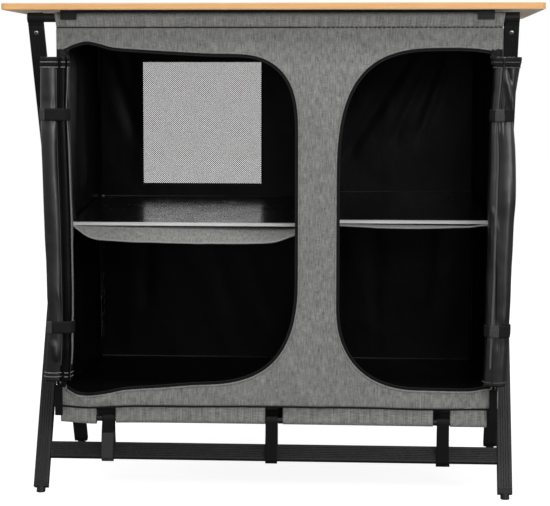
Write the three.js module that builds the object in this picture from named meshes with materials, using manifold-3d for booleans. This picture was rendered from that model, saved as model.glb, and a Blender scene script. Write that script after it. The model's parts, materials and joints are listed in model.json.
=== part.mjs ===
// Folding camping cupboard: a lift-off worktop on two crossed aluminium frames,
// with a zipped cloth body hung from the top rails and strapped to the lower rails.
// Millimetres. +X is right, +Y is to the back, +Z is up. The origin is on the ground,
// under the middle of the whole.
import * as THREE from 'three';
import { mergeVertices } from 'three/addons/utils/BufferGeometryUtils.js';
import Module from 'manifold-3d';

const wasm = await Module();
wasm.setup();

// Fits shared by the whole model
const clearance = 0.3;
const overrun = 4;

// Worktop
const worktopWidth = 890;
const worktopDepth = 450;
const worktopThickness = 11;
const worktopHeight = 823;
const worktopCornerRadius = 9;
const worktopEdgeRound = 1.6;
const hookBarThickness = 2.5;
const hookBarDepth = 22;
const hookWidth = 27;
const hookReach = 13;
const hookInset = 14;

// Crossed frames
const frameWidth = 810;
const topRailSpan = 390;
const footSpan = 400;
const railDiameter = 15;
const railWall = 1.3;
const legWidth = 25;
const legThickness = 13;
const legWall = 1.5;
const legCornerRadius = 2.2;
const legGrooves = 4;
const lowerRailGrooves = 7;
const grooveWidth = 1.3;
const grooveDepth = 0.6;
const lowerRailHeight = 66;
const lowerRailWidth = 28;
const closedHalfAngle = 2;

// Moulded corners, cross joints and feet
const cornerBossDiameter = 17;
const collarLength = 9;
const plugLength = 30;
const hubDiameter = 38;
const hubReach = 26;
const pivotDiameter = 8;
const pivotHeadDiameter = 16;
const pivotHeadHeight = 3;
const pivotHeadCrownShare = 0.7;
const footCapLength = 9;
const footStubDiameter = 15;
const footStubLength = 8;

// Cloth body. Shares of its width run from its left front edge to its right front edge,
// shares of its height from the floor panel to the seam under the sleeve.
const fabricThickness = 1.2;
const leftFrontInset = 49;
const rightFrontInset = 27;
const leftBackInset = 51;
const rightBackInset = 49;
const dividerShare = 0.587;
const sleeveSeamDrop = 16;
const hemHeight = 152;
const floorRise = 18;
const floorThickness = 4;
const foldDepth = 5;

// Door openings in the front panel
const openingTopDrop = 35;
const openingBottomRise = 31;
const openingBorder = 10;
const openingCornerRadius = 12;
const leftOpeningShare = 0.545;
const rightOpeningShare = 0.6335;
const upperSweepWidth = 158;
const upperSweepHeight = 152;
const lowerSweepWidth = 147;
const lowerSweepHeight = 141;
const sweepPower = 2.5;

// Net window in the back wall
const windowLeftShare = 0.117;
const windowRightShare = 0.433;
const windowTopShare = 0.917;
const windowBottomShare = 0.542;
const netBorder = 7;
const netGaps = 11;
const netCord = 2.4;

// Shelves and the cloth slings that carry them
const shelfThickness = 3;
const shelfDepth = 322;
const leftShelfShare = 0.5015;
const rightShelfShare = 0.518;
const leftShelfTilt = 4.5;
const rightShelfTilt = 5.2;
const rightShelfFlare = 12;
const shelfEdgeDepth = 7;
const leftSlingSag = 17;
const rightSlingSag = 3;
const leftSlingLip = 46;
const rightSlingLip = 20;
const slingSlackShare = 0.35;
const slingCornerShare = 0.2;

// Rolled doors and their ties
const rollDiameter = 47;
const rollTopDrop = 14;
const rollBottomRise = 15;
const rollStep = 2.2;
const leftRollInset = 4;
const rightRollInset = -1;
const tieWidth = 20;
const tieThickness = 1.4;
const upperTieShare = 0.767;
const lowerTieShare = 0.194;

// Zip sliders and pull tags
const sliderWidth = 8;
const sliderHeight = 10;
const sliderThickness = 3.6;
const sliderRise = 7;
const sliderNoseShare = 0.7;
const sliderTailShare = 0.75;
const sliderShoulderShare = 0.6;
const pullPinShare = 0.9;
const leftSliderInset = -2;
const rightSliderInset = 8;
const earThickness = 1.2;
const pullPinDiameter = 1.6;
const knuckleWall = 0.9;
const tagWidth = 13;
const tagLength = 52;
const tagThickness = 1.6;

// Hem sleeve, its rod and the straps to the lower rail
const rodDiameter = 10;
const rodDrop = 24;
const strapWidth = 20;
const strapGap = 5;
const strapThickness = 1.4;
const leftStrapShare = 0.1145;
const middleStrapShare = 0.4905;
const rightStrapShare = 0.876;
const hemRightInset = 18;

// Finishes
function finish(colour, roughness, metalness = 0) {
  return new THREE.MeshStandardMaterial({ color: colour, roughness, metalness });
}
const wood = finish(0xd9a566, 0.5);
const blackAluminium = finish(0x202022, 0.42, 0.7);
const blackPlastic = finish(0x18181a, 0.55);
const steel = finish(0xb9bbbd, 0.3, 1);
const greyCloth = finish(0x626468, 0.9);
const blackLining = finish(0x0c0c0e, 0.35);
const net = finish(0xd8d8d6, 0.8);
const shelfBoard = finish(0x17171a, 0.3);
const brightEdge = finish(0xd0d2d4, 0.3, 0.9);
const blackWebbing = finish(0x141416, 0.85);

// Solids
function toSolid(geometry) {
  const bare = geometry.clone();
  bare.deleteAttribute('normal');
  bare.deleteAttribute('uv');
  const merged = mergeVertices(bare);
  const vertProperties = new Float32Array(merged.attributes.position.array);
  const triVerts = new Uint32Array(merged.index.array);
  return new wasm.Manifold(new wasm.Mesh({ numProp: 3, vertProperties, triVerts }));
}

function toGeometry(solid) {
  const mesh = solid.getMesh();
  const geometry = new THREE.BufferGeometry();
  geometry.setAttribute('position', new THREE.BufferAttribute(mesh.vertProperties, 3));
  geometry.setIndex(new THREE.BufferAttribute(mesh.triVerts, 1));
  geometry.computeVertexNormals();
  return geometry;
}

function join(...geometries) {
  return toGeometry(geometries.map(toSolid).reduce((sum, solid) => sum.add(solid)));
}

function cut(geometry, ...tools) {
  return toGeometry(tools.map(toSolid).reduce((rest, tool) => rest.subtract(tool), toSolid(geometry)));
}

const alongX = new THREE.Matrix4().makeBasis(
  new THREE.Vector3(0, 1, 0), new THREE.Vector3(0, 0, 1), new THREE.Vector3(1, 0, 0));
const alongY = new THREE.Matrix4().makeBasis(
  new THREE.Vector3(1, 0, 0), new THREE.Vector3(0, 0, 1), new THREE.Vector3(0, -1, 0));

// Steps in a quarter or a full round of a drawn curve, halved by the shape classes
const cornerSteps = 2;
const roundSteps = 10;

function prism(shape, length, curveSegments) {
  return new THREE.ExtrudeGeometry(shape, { depth: length, bevelEnabled: false, curveSegments });
}

// A shape drawn in (y, z) and run from one x to another
function extrudeX(shape, from, to, curveSegments = cornerSteps) {
  return prism(shape, to - from, curveSegments).applyMatrix4(alongX).translate(from, 0, 0);
}

// A shape drawn in (x, z) and run from one y to another
function extrudeY(shape, from, to, curveSegments = cornerSteps) {
  return prism(shape, to - from, curveSegments).applyMatrix4(alongY).translate(0, to, 0);
}

// A shape drawn in (x, y) and run from one z to another
function extrudeZ(shape, from, to, curveSegments = cornerSteps) {
  return prism(shape, to - from, curveSegments).translate(0, 0, from);
}

function block(x0, x1, y0, y1, z0, z1) {
  const geometry = new THREE.BoxGeometry(x1 - x0, y1 - y0, z1 - z0);
  return geometry.translate((x0 + x1) / 2, (y0 + y1) / 2, (z0 + z1) / 2);
}

const roundSides = 20;

function rodX(radius, from, to, y, z) {
  const geometry = new THREE.CylinderGeometry(radius, radius, to - from, roundSides);
  return geometry.rotateZ(Math.PI / 2).translate((from + to) / 2, y, z);
}

function disc(radius, x = 0, y = 0) {
  return new THREE.Shape().absarc(x, y, radius, 0, 2 * Math.PI, false);
}

// A rectangle with rounded corners, centred on (0, 0)
function roundedRectangle(width, height, radius) {
  const x = width / 2 - radius;
  const y = height / 2 - radius;
  const shape = new THREE.Shape();
  shape.absarc(x, y, radius, 0, Math.PI / 2, false);
  shape.absarc(-x, y, radius, Math.PI / 2, Math.PI, false);
  shape.absarc(-x, -y, radius, Math.PI, 1.5 * Math.PI, false);
  shape.absarc(x, -y, radius, 1.5 * Math.PI, 2 * Math.PI, false);
  return shape;
}

// The taut outline round some circles, each { a, b, radius } in the drawing plane
function wrapRound(circles, steps = 12) {
  const points = circles.flatMap(({ a, b, radius }) => Array.from({ length: steps }, (_, i) => {
    const angle = 2 * Math.PI * i / steps;
    return new THREE.Vector2(a + radius * Math.cos(angle), b + radius * Math.sin(angle));
  }));
  points.sort((p, q) => p.x - q.x || p.y - q.y);
  const chain = (list) => {
    const kept = [];
    for (const p of list) {
      while (kept.length > 1) {
        const u = kept.at(-1).clone().sub(kept.at(-2));
        if (u.cross(p.clone().sub(kept.at(-1))) > 0) break;
        kept.pop();
      }
      kept.push(p);
    }
    return kept.slice(0, -1);
  };
  return [...chain(points), ...chain([...points].reverse())];
}

// A loop of band round some circles: bare against them inside, one thickness outside
function loopShape(circles, gap, thickness) {
  const grown = (by) => circles.map((c) => ({ ...c, radius: c.radius + by }));
  const shape = new THREE.Shape(wrapRound(grown(gap + thickness)));
  shape.holes.push(new THREE.Path(wrapRound(grown(gap))));
  return shape;
}

// A cloth sheet of even thickness over a grid of points
function clothSheet(pointAt, across, uSteps, vSteps) {
  const positions = [];
  const index = [];
  const columns = uSteps + 1;
  const layer = columns * (vSteps + 1);
  for (const side of [0, 1]) {
    for (let v = 0; v <= vSteps; v += 1) {
      for (let u = 0; u <= uSteps; u += 1) {
        const p = pointAt(u / uSteps, v / vSteps).addScaledVector(across, side);
        positions.push(p.x, p.y, p.z);
      }
    }
  }
  const quad = (a, b, c, d) => index.push(a, b, c, a, c, d);
  for (let v = 0; v < vSteps; v += 1) {
    for (let u = 0; u < uSteps; u += 1) {
      const a = v * columns + u;
      const b = a + 1;
      const c = b + columns;
      const d = a + columns;
      quad(a, d, c, b);
      quad(a + layer, b + layer, c + layer, d + layer);
    }
  }
  for (let u = 0; u < uSteps; u += 1) {
    const a = u;
    const b = vSteps * columns + u;
    quad(a, a + 1, a + 1 + layer, a + layer);
    quad(b + 1, b, b + layer, b + 1 + layer);
  }
  for (let v = 0; v < vSteps; v += 1) {
    const a = v * columns;
    const b = a + uSteps;
    quad(a + columns, a, a + layer, a + columns + layer);
    quad(b, b + columns, b + columns + layer, b + layer);
  }
  const corner = pointAt(0, 0);
  const facing = pointAt(1, 0).sub(corner).cross(pointAt(0, 1).sub(corner));
  if (facing.dot(across) < 0) {
    index.reverse();
  }
  const geometry = new THREE.BufferGeometry();
  geometry.setAttribute('position', new THREE.Float32BufferAttribute(positions, 3));
  geometry.setIndex(index);
  geometry.computeVertexNormals();
  return geometry;
}

// Places that follow from the driving dimensions
const railRadius = railDiameter / 2;
const sleeveRadius = railRadius + clearance + fabricThickness;
const worktopUnderside = worktopHeight - worktopThickness;
const hookBarUnderside = worktopUnderside - clearance - hookBarThickness;
const railHeight = hookBarUnderside - clearance - sleeveRadius;
const railPlace = topRailSpan / 2;
const frontFace = -(railPlace + sleeveRadius);
const backFace = -frontFace;
const legOffset = legThickness / 2 + clearance;

// The cloth body hangs between the frames' legs
const clothLeftFront = -frameWidth / 2 + leftFrontInset;
const clothRightFront = frameWidth / 2 - rightFrontInset;
const clothLeftBack = -frameWidth / 2 + leftBackInset;
const clothRightBack = frameWidth / 2 - rightBackInset;
const sleeveSeamHeight = railHeight - sleeveSeamDrop;
const floorHeight = hemHeight + floorRise;
const openingTop = sleeveSeamHeight - openingTopDrop;
const openingBottom = hemHeight + openingBottomRise;

function across(share) {
  return clothLeftFront + share * (clothRightFront - clothLeftFront);
}

function upward(share) {
  return floorHeight + share * (sleeveSeamHeight - floorHeight);
}

const dividerPlace = across(dividerShare);

// Each frame's tubes lie to either side of its pivot, so that the frames close side by side.
// The lean and the lengths follow from the rails' place, the feet's place and that offset.
const legRun = (topRailSpan + footSpan) / 2;
const legLength = Math.sqrt(legRun ** 2 + railHeight ** 2 - (2 * legOffset) ** 2);
const lean = Math.atan2(legRun, railHeight) - Math.atan2(2 * legOffset, legLength);
const upperLength = (railPlace - legOffset * Math.cos(lean)) / Math.sin(lean);
const lowerLength = legLength - upperLength;
const pivotHeight = railHeight + legOffset * Math.sin(lean) - upperLength * Math.cos(lean);
const foldAngle = lean - THREE.MathUtils.degToRad(closedHalfAngle);
const legPlace = (frameWidth - legWidth) / 2;
const innerFace = legPlace - legWidth / 2;
const lowerRailPlace = (lowerRailHeight - pivotHeight - legOffset * Math.sin(lean)) / Math.cos(lean);

const model = new THREE.Group();

function addPiece(parent, name, geometry, material) {
  const mesh = new THREE.Mesh(geometry, material);
  mesh.name = name;
  parent.add(mesh);
  return mesh;
}

// Worktop: a laminated board with rounded corners and eased edges
function worktop() {
  const shape = roundedRectangle(
    worktopWidth - 2 * worktopEdgeRound, worktopDepth - 2 * worktopEdgeRound,
    worktopCornerRadius - worktopEdgeRound);
  const geometry = new THREE.ExtrudeGeometry(shape, {
    depth: worktopThickness - 2 * worktopEdgeRound,
    bevelThickness: worktopEdgeRound,
    bevelSize: worktopEdgeRound,
    bevelSegments: 2,
    curveSegments: cornerSteps,
  });
  return geometry.translate(0, 0, worktopUnderside + worktopEdgeRound);
}

// Hook bar under the worktop: a flat bar on the rail, with a hook at each end that drops
// outside the rail and keeps the worktop from sliding
function hookBar(side) {
  const left = clothLeftFront + hookInset / 2;
  const right = clothRightFront - hookInset;
  const outer = railPlace + sleeveRadius + clearance + hookBarThickness;
  const inner = railPlace - hookBarDepth / 2;
  const barTop = worktopUnderside - clearance;
  const shape = new THREE.Shape();
  shape.moveTo(side * inner, hookBarUnderside);
  shape.lineTo(side * inner, barTop);
  shape.lineTo(side * (outer - hookBarThickness / 2), barTop);
  shape.lineTo(side * outer, barTop - hookBarThickness / 2);
  shape.lineTo(side * outer, hookBarUnderside);
  shape.closePath();
  const bar = extrudeX(shape, left, right);
  const hook = (x) => {
    const low = hookBarUnderside - hookReach;
    const near = Math.min(side * outer, side * (outer - hookBarThickness));
    return block(x, x + hookWidth, near, near + hookBarThickness, low, worktopUnderside - hookBarThickness);
  };
  return join(bar, hook(left), hook(right - hookWidth));
}

addPiece(model, 'worktop', worktop(), wood);
addPiece(model, 'worktop_front_hook_bar', hookBar(-1), blackPlastic);
addPiece(model, 'worktop_rear_hook_bar', hookBar(1), blackPlastic);

// Leg tube: a flat aluminium extrusion with lengthwise grooves on both wide faces
function groovedSection(width, thickness, grooves) {
  const r = legCornerRadius;
  const x = width / 2;
  const y = thickness / 2;
  const pitch = (width - 2 * r) / (grooves + 1);
  const shape = new THREE.Shape();
  const face = (direction) => {
    for (let i = 1; i <= grooves; i += 1) {
      const centre = direction * (-x + r + i * pitch);
      shape.lineTo(centre - direction * grooveWidth / 2, -direction * y);
      shape.lineTo(centre, -direction * (y - grooveDepth));
      shape.lineTo(centre + direction * grooveWidth / 2, -direction * y);
    }
  };
  shape.moveTo(-x + r, -y);
  face(1);
  shape.absarc(x - r, -y + r, r, -Math.PI / 2, 0, false);
  shape.absarc(x - r, y - r, r, 0, Math.PI / 2, false);
  face(-1);
  shape.absarc(-x + r, y - r, r, Math.PI / 2, Math.PI, false);
  shape.absarc(-x + r, -y + r, r, Math.PI, 1.5 * Math.PI, false);
  return shape;
}

const bore = { width: legWidth - 2 * legWall, thickness: legThickness - 2 * legWall };

function legTube(from, to, offset) {
  const shape = groovedSection(legWidth, legThickness, legGrooves);
  shape.holes.push(roundedRectangle(bore.width, bore.thickness, legCornerRadius / 2));
  return extrudeZ(shape, from, to).translate(0, offset, 0);
}

function legPlug(from, to, offset) {
  const shape = roundedRectangle(
    bore.width - 2 * clearance, bore.thickness - 2 * clearance, legCornerRadius / 2);
  return extrudeZ(shape, from, to).translate(0, offset, 0);
}

function legCollar(from, to, offset) {
  const shape = roundedRectangle(legWidth, legThickness, legCornerRadius);
  return extrudeZ(shape, from, to).translate(0, offset, 0);
}

const cornerReach = cornerBossDiameter / 2 + collarLength / 2;

// Moulded corner: a boss round the rail's end, a plug into the leg and a spigot into the rail
function corner(side, offset) {
  const boss = rodX(cornerBossDiameter / 2, -legWidth / 2, legWidth / 2, offset, upperLength);
  const spigot = rodX(
    railRadius - railWall - clearance, -side * legWidth / 2 - (side > 0 ? plugLength : 0),
    -side * legWidth / 2 + (side > 0 ? 0 : plugLength), offset, upperLength);
  const collar = legCollar(upperLength - cornerReach, upperLength, offset);
  const plug = legPlug(upperLength - cornerReach - plugLength, upperLength - cornerReach, offset);
  return join(boss, collar, plug, spigot);
}

// Half of a cross joint: a disc on the pivot, and an arm to each tube that widens to the
// tube's full section and ends in a plug. The other half is beside it on the same pivot.
function crossJoint(upperOffset, xFrom, xTo, pivotBore) {
  const plate = rodX(hubDiameter / 2, xFrom, xTo, 0, 0);
  const arm = (direction, offset) => {
    const near = offset - legThickness / 2;
    const z = [0, direction * (hubReach + collarLength / 2)].sort((p, q) => p - q);
    const collar = [direction * hubReach, direction * (hubReach + collarLength)].sort((p, q) => p - q);
    const plug = [collar[direction > 0 ? 1 : 0], direction * (hubReach + collarLength + plugLength)]
      .sort((p, q) => p - q);
    return [
      block(xFrom, xTo, near, near + legThickness, z[0], z[1]),
      legCollar(collar[0], collar[1], offset),
      legPlug(plug[0], plug[1], offset),
    ];
  };
  const solid = join(plate, ...arm(1, upperOffset), ...arm(-1, -upperOffset));
  return cut(solid, rodX(pivotBore, xFrom - overrun, xTo + overrun, 0, 0));
}

// Foot: a cap that closes the tube, a plug into it and a round stub cut level with the ground
function foot(offset, tilt) {
  const tip = -lowerLength;
  const capTop = tip + footStubLength + footCapLength;
  const plug = legPlug(capTop, capTop + plugLength / 2, offset);
  const cap = legCollar(tip + footStubLength, capTop, offset);
  const stub = extrudeZ(
    disc(footStubDiameter / 2, 0, offset), tip - overrun, tip + footStubLength + clearance, roundSteps);
  const ground = block(-legWidth, legWidth, -legWidth, legWidth, -2 * legWidth, 0)
    .rotateX(-tilt).translate(0, offset, tip);
  return cut(join(plug, cap, stub), ground);
}

const tubeTop = upperLength - cornerReach - clearance;
const tubeHub = hubReach + collarLength + clearance;
const tubeFoot = -lowerLength + footStubLength + footCapLength + clearance;

// One frame stands about its pivot, leaning by the given tilt: two legs, a round top rail
// and a ribbed lower rail. The tubes above the pivot lie to one side, those below to the other.
function buildFrame(prefix, tilt, upperOffset, hubInside) {
  const frame = new THREE.Group();
  frame.position.set(0, 0, pivotHeight);
  frame.rotation.x = tilt;
  model.add(frame);
  const reach = innerFace - clearance;
  const ring = disc(railRadius, upperOffset, upperLength);
  ring.holes.push(disc(railRadius - railWall, upperOffset, upperLength));
  addPiece(frame, `${prefix}_top_rail`, extrudeX(ring, -reach, reach, roundSteps), blackAluminium);
  const bar = groovedSection(lowerRailWidth, legThickness, lowerRailGrooves);
  bar.holes.push(roundedRectangle(lowerRailWidth - 2 * legWall, bore.thickness, legCornerRadius / 2));
  const lowerRail = prism(bar, 2 * reach, cornerSteps)
    .rotateY(Math.PI / 2).translate(-reach, -upperOffset, lowerRailPlace);
  addPiece(frame, `${prefix}_lower_rail`, lowerRail, blackAluminium);
  for (const [word, side] of [['left', -1], ['right', 1]]) {
    const leg = new THREE.Group();
    leg.position.x = side * legPlace;
    frame.add(leg);
    const half = legWidth / 2;
    const [from, to] = (side > 0) === hubInside ? [-half, -clearance / 2] : [clearance / 2, half];
    addPiece(leg, `${prefix}_${word}_upper_tube`, legTube(tubeHub, tubeTop, upperOffset), blackAluminium);
    addPiece(leg, `${prefix}_${word}_lower_tube`, legTube(tubeFoot, -tubeHub, -upperOffset), blackAluminium);
    addPiece(leg, `${prefix}_${word}_corner`, corner(side, upperOffset), blackPlastic);
    addPiece(
      leg, `${prefix}_${word}_cross_joint`,
      crossJoint(upperOffset, from, to, pivotDiameter / 2 + clearance), blackPlastic);
    addPiece(leg, `${prefix}_${word}_foot`, foot(-upperOffset, tilt), blackPlastic);
  }
  return frame;
}

buildFrame('rear_frame', lean, -legOffset, true);
const frontFrame = buildFrame('front_frame', -lean, legOffset, false);

// Pivot bolt through both halves of a cross joint, with a low domed head at each end
function pivot() {
  const half = legWidth / 2 + clearance;
  const radius = pivotHeadDiameter / 2;
  const profile = [
    new THREE.Vector2(0, -half - pivotHeadHeight),
    new THREE.Vector2(radius * pivotHeadCrownShare, -half - pivotHeadHeight),
    new THREE.Vector2(radius, -half - pivotHeadHeight / 2),
    new THREE.Vector2(radius, -half),
    new THREE.Vector2(pivotDiameter / 2, -half),
    new THREE.Vector2(pivotDiameter / 2, half),
    new THREE.Vector2(radius, half),
    new THREE.Vector2(radius, half + pivotHeadHeight / 2),
    new THREE.Vector2(radius * pivotHeadCrownShare, half + pivotHeadHeight),
    new THREE.Vector2(0, half + pivotHeadHeight),
  ];
  return new THREE.LatheGeometry(profile, roundSides).rotateZ(Math.PI / 2);
}

for (const [word, side] of [['left', -1], ['right', 1]]) {
  addPiece(frontFrame, `${word}_pivot_bolt`, pivot().translate(side * legPlace, 0, 0), steel);
}

// Sleeve along the top of a panel: a loop round the rail that closes at the seam
function railSleeve(side, xFrom, xTo) {
  const circles = [
    { a: side * railPlace, b: railHeight, radius: railRadius },
    { a: side * (backFace - fabricThickness - clearance), b: sleeveSeamHeight, radius: 0 },
  ];
  return extrudeX(loopShape(circles, clearance, fabricThickness), xFrom, xTo);
}

const openingSteps = 9;
const openingCornerSteps = 3;

// Door opening: square at the outer side and swept wide at the middle of the cupboard.
// Each corner is a quarter of a superellipse: a power of 2 is round, a higher one is fuller.
function openingShape(outer, inner) {
  const side = Math.sign(inner - outer);
  const quarter = (x, z, width, height, power, steps) => Array.from({ length: steps + 1 }, (_, i) => {
    const angle = Math.PI / 2 * i / steps;
    return new THREE.Vector2(
      x + width * Math.cos(angle) ** (2 / power), z + height * Math.sin(angle) ** (2 / power));
  });
  const corner = openingCornerRadius;
  const outerX = outer + side * corner;
  const points = [
    ...quarter(inner - side * lowerSweepWidth, openingBottom + lowerSweepHeight,
      side * lowerSweepWidth, -lowerSweepHeight, sweepPower, openingSteps).reverse(),
    ...quarter(inner - side * upperSweepWidth, openingTop - upperSweepHeight,
      side * upperSweepWidth, upperSweepHeight, sweepPower, openingSteps),
    ...quarter(outerX, openingTop - corner, -side * corner, corner, 2, openingCornerSteps).reverse(),
    ...quarter(outerX, openingBottom + corner, -side * corner, -corner, 2, openingCornerSteps),
  ];
  return new THREE.Shape(points);
}

function frontPanel() {
  const sheet = block(
    clothLeftFront, clothRightFront, frontFace, frontFace + fabricThickness, hemHeight, sleeveSeamHeight);
  const sleeve = railSleeve(-1, clothLeftFront, clothRightFront);
  const holes = [
    openingShape(clothLeftFront + openingBorder, across(leftOpeningShare)),
    openingShape(clothRightFront - openingBorder, across(rightOpeningShare)),
  ].map((shape) => extrudeY(shape, frontFace - overrun, frontFace + fabricThickness + overrun));
  return cut(join(sheet, sleeve), ...holes);
}

const windowLeft = across(windowLeftShare);
const windowRight = across(windowRightShare);
const windowTop = upward(windowTopShare);
const windowBottom = upward(windowBottomShare);

// Vertical folds in hanging cloth: they fade out at the seams round the sheet
function fold(u, v, count, depth) {
  const across = Math.sin(Math.PI * u);
  const up = Math.sin(Math.PI * v);
  return depth * across * up * (1 + Math.sin(2 * Math.PI * count * u)) / 2;
}

function backPanel() {
  const span = (from, to, count) => clothSheet(
    (u, v) => new THREE.Vector3(
      from + u * (to - from), backFace - fabricThickness + fold(u, v, count, foldDepth),
      hemHeight + v * (sleeveSeamHeight - hemHeight)),
    new THREE.Vector3(0, fabricThickness, 0), 16, 5);
  const window = block(
    windowLeft, windowRight, backFace - overrun, backFace + foldDepth + overrun, windowBottom, windowTop);
  const sheets = join(span(clothLeftBack, dividerPlace, 3), span(dividerPlace, clothRightBack, 2));
  return cut(join(sheets, railSleeve(1, clothLeftBack, clothRightBack)), window);
}

// Net window: a lattice of cords with square gaps, sewn over the hole in the back wall
function windowNet() {
  const back = backFace - fabricThickness - clearance;
  const front = back - fabricThickness;
  const sheet = block(
    windowLeft - netBorder, windowRight + netBorder, front, back,
    windowBottom - netBorder, windowTop + netBorder);
  const pitchX = (windowRight - windowLeft) / netGaps;
  const pitchZ = (windowTop - windowBottom) / netGaps;
  const gaps = [];
  for (let i = 0; i < netGaps; i += 1) {
    for (let j = 0; j < netGaps; j += 1) {
      const x = windowLeft + i * pitchX;
      const z = windowBottom + j * pitchZ;
      gaps.push(block(
        x + netCord / 2, x + pitchX - netCord / 2, front - overrun, back + overrun,
        z + netCord / 2, z + pitchZ - netCord / 2));
    }
  }
  return cut(sheet, ...gaps);
}

const wallTop = sleeveSeamHeight - 2 * (clearance + fabricThickness);
const wallFront = frontFace + fabricThickness + clearance;
const wallBack = backFace - fabricThickness - clearance;

// A side wall from the front panel to the back panel, with folds that swell outwards
function sideWall(xFront, xBack, outwards) {
  const thickness = new THREE.Vector3(-outwards * fabricThickness, 0, 0);
  return clothSheet((u, v) => new THREE.Vector3(
    xFront + u * (xBack - xFront) + outwards * fold(u, v, 2, foldDepth),
    wallFront + u * (wallBack - wallFront),
    hemHeight + v * (wallTop - hemHeight)), thickness, 14, 5);
}

function divider() {
  return clothSheet((u, v) => new THREE.Vector3(
    dividerPlace + fold(u, v, 1, foldDepth),
    wallFront + u * (wallBack - wallFront),
    floorHeight + clearance + v * (wallTop - floorHeight - clearance)),
  new THREE.Vector3(fabricThickness, 0, 0), 12, 5);
}

// Floor: a stiffened panel that follows the walls' lines
function floorPanel() {
  const inset = fabricThickness + clearance;
  const shape = new THREE.Shape();
  shape.moveTo(clothLeftFront + inset, wallFront);
  shape.lineTo(clothRightFront - inset, wallFront);
  shape.lineTo(clothRightBack - inset, wallBack);
  shape.lineTo(clothLeftBack + inset, wallBack);
  return extrudeZ(shape, floorHeight - floorThickness, floorHeight);
}

addPiece(model, 'front_panel', frontPanel(), greyCloth);
addPiece(model, 'back_panel', backPanel(), blackLining);
addPiece(model, 'window_net', windowNet(), net);
addPiece(model, 'left_side_wall', sideWall(clothLeftFront, clothLeftBack, -1), greyCloth);
addPiece(model, 'right_side_wall', sideWall(clothRightFront, clothRightBack, 1), greyCloth);
addPiece(model, 'divider_wall', divider(), blackLining);
addPiece(model, 'floor_panel', floorPanel(), blackLining);

// Shelf: a thin board hinged on the seam of the back wall, tilting down to the front,
// with a bright channel along its front edge
const shelfBack = wallBack - clearance;
const shelfSpans = {
  left: {
    from: clothLeftBack + fabricThickness + 2 * clearance, to: dividerPlace - 2 * clearance,
    height: upward(leftShelfShare), tilt: THREE.MathUtils.degToRad(leftShelfTilt), flare: 0,
    sag: leftSlingSag, lip: leftSlingLip,
  },
  right: {
    from: dividerPlace + fabricThickness + foldDepth + 2 * clearance,
    to: clothRightBack - fabricThickness - 2 * clearance,
    height: upward(rightShelfShare), tilt: THREE.MathUtils.degToRad(rightShelfTilt),
    flare: rightShelfFlare, sag: rightSlingSag, lip: rightSlingLip,
  },
};

// The board widens towards the front by its flare, as the walls do
function shelfBoardShape({ from, to, flare }) {
  const shape = new THREE.Shape();
  shape.moveTo(from, -shelfDepth);
  shape.lineTo(to + flare, -shelfDepth);
  shape.lineTo(to, 0);
  shape.lineTo(from, 0);
  return shape;
}

function shelfEdge({ from, to, flare }) {
  const end = to + flare * (1 - shelfEdgeDepth / shelfDepth);
  const wall = clearance + fabricThickness / 2;
  const front = -shelfDepth - wall;
  const channel = block(from, end, front, front + shelfEdgeDepth, -shelfThickness - wall, wall);
  return cut(channel, block(
    from - overrun, end + overrun, -shelfDepth - clearance, front + shelfEdgeDepth + overrun,
    -shelfThickness - clearance, clearance));
}

// Sling: the cloth under a shelf. It is taut at the back and the sides, and its front lip
// reaches past the board and hangs in a bow
function sling({ from, to, height, tilt, flare, sag, lip }) {
  const under = shelfThickness + 2 * clearance + 1.5 * fabricThickness;
  const reach = shelfDepth * Math.cos(tilt);
  return clothSheet((u, v) => {
    const bow = 1 - (2 * u - 1) ** 6;
    const forward = reach + lip * (slingCornerShare + (1 - slingCornerShare) * bow);
    const depth = forward * (1 - v);
    const slack = Math.max(0, 1 - v / slingSlackShare) ** 2;
    const z = height - under / Math.cos(tilt) - depth * Math.tan(tilt) - sag * bow * slack;
    const width = to + flare * Math.min(1, depth / reach) - from;
    return new THREE.Vector3(from + u * width, shelfBack - depth, z);
  }, new THREE.Vector3(0, 0, -fabricThickness), 14, 8);
}

for (const [word, span] of Object.entries(shelfSpans)) {
  const shelf = new THREE.Group();
  shelf.position.set(0, shelfBack, span.height);
  shelf.rotation.x = span.tilt;
  model.add(shelf);
  addPiece(shelf, `${word}_shelf`, extrudeZ(shelfBoardShape(span), -shelfThickness, 0), shelfBoard);
  addPiece(shelf, `${word}_shelf_edge`, shelfEdge(span), brightEdge);
  addPiece(model, `${word}_shelf_sling`, sling(span), greyCloth);
}

// Rolled door: one turn of the roll's outer layer ends in a step down the side
const rollRadius = rollDiameter / 2;
const rollTop = openingTop - rollTopDrop;
const rollBottom = openingBottom + rollBottomRise;
const rollDepth = frontFace - 2 * clearance - tieThickness - rollRadius;

function rolledDoor(place, side) {
  const steps = 28;
  const outline = Array.from({ length: steps + 1 }, (_, i) => {
    const angle = side * 2 * Math.PI * i / steps + Math.PI / 2;
    const radius = rollRadius - rollStep * i / steps;
    return new THREE.Vector2(place + radius * Math.cos(angle), rollDepth + radius * Math.sin(angle));
  });
  return extrudeZ(new THREE.Shape(outline), rollBottom, rollTop);
}

function doorTie(place, height) {
  const shape = disc(rollRadius + clearance + tieThickness, place, rollDepth);
  shape.holes.push(disc(rollRadius + clearance, place, rollDepth));
  return extrudeZ(shape, height - tieWidth / 2, height + tieWidth / 2, roundSteps);
}

// Zip slider with two ears and a pin, and the pull tag that turns on the pin by its knuckle
const sliderHeightPlace = openingBottom + sliderRise;
const sliderBack = frontFace - clearance;
const sliderFront = sliderBack - sliderThickness;
const knuckleRadius = pullPinDiameter / 2 + clearance + knuckleWall;
const pullPlace = sliderFront - clearance - knuckleRadius;

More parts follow.
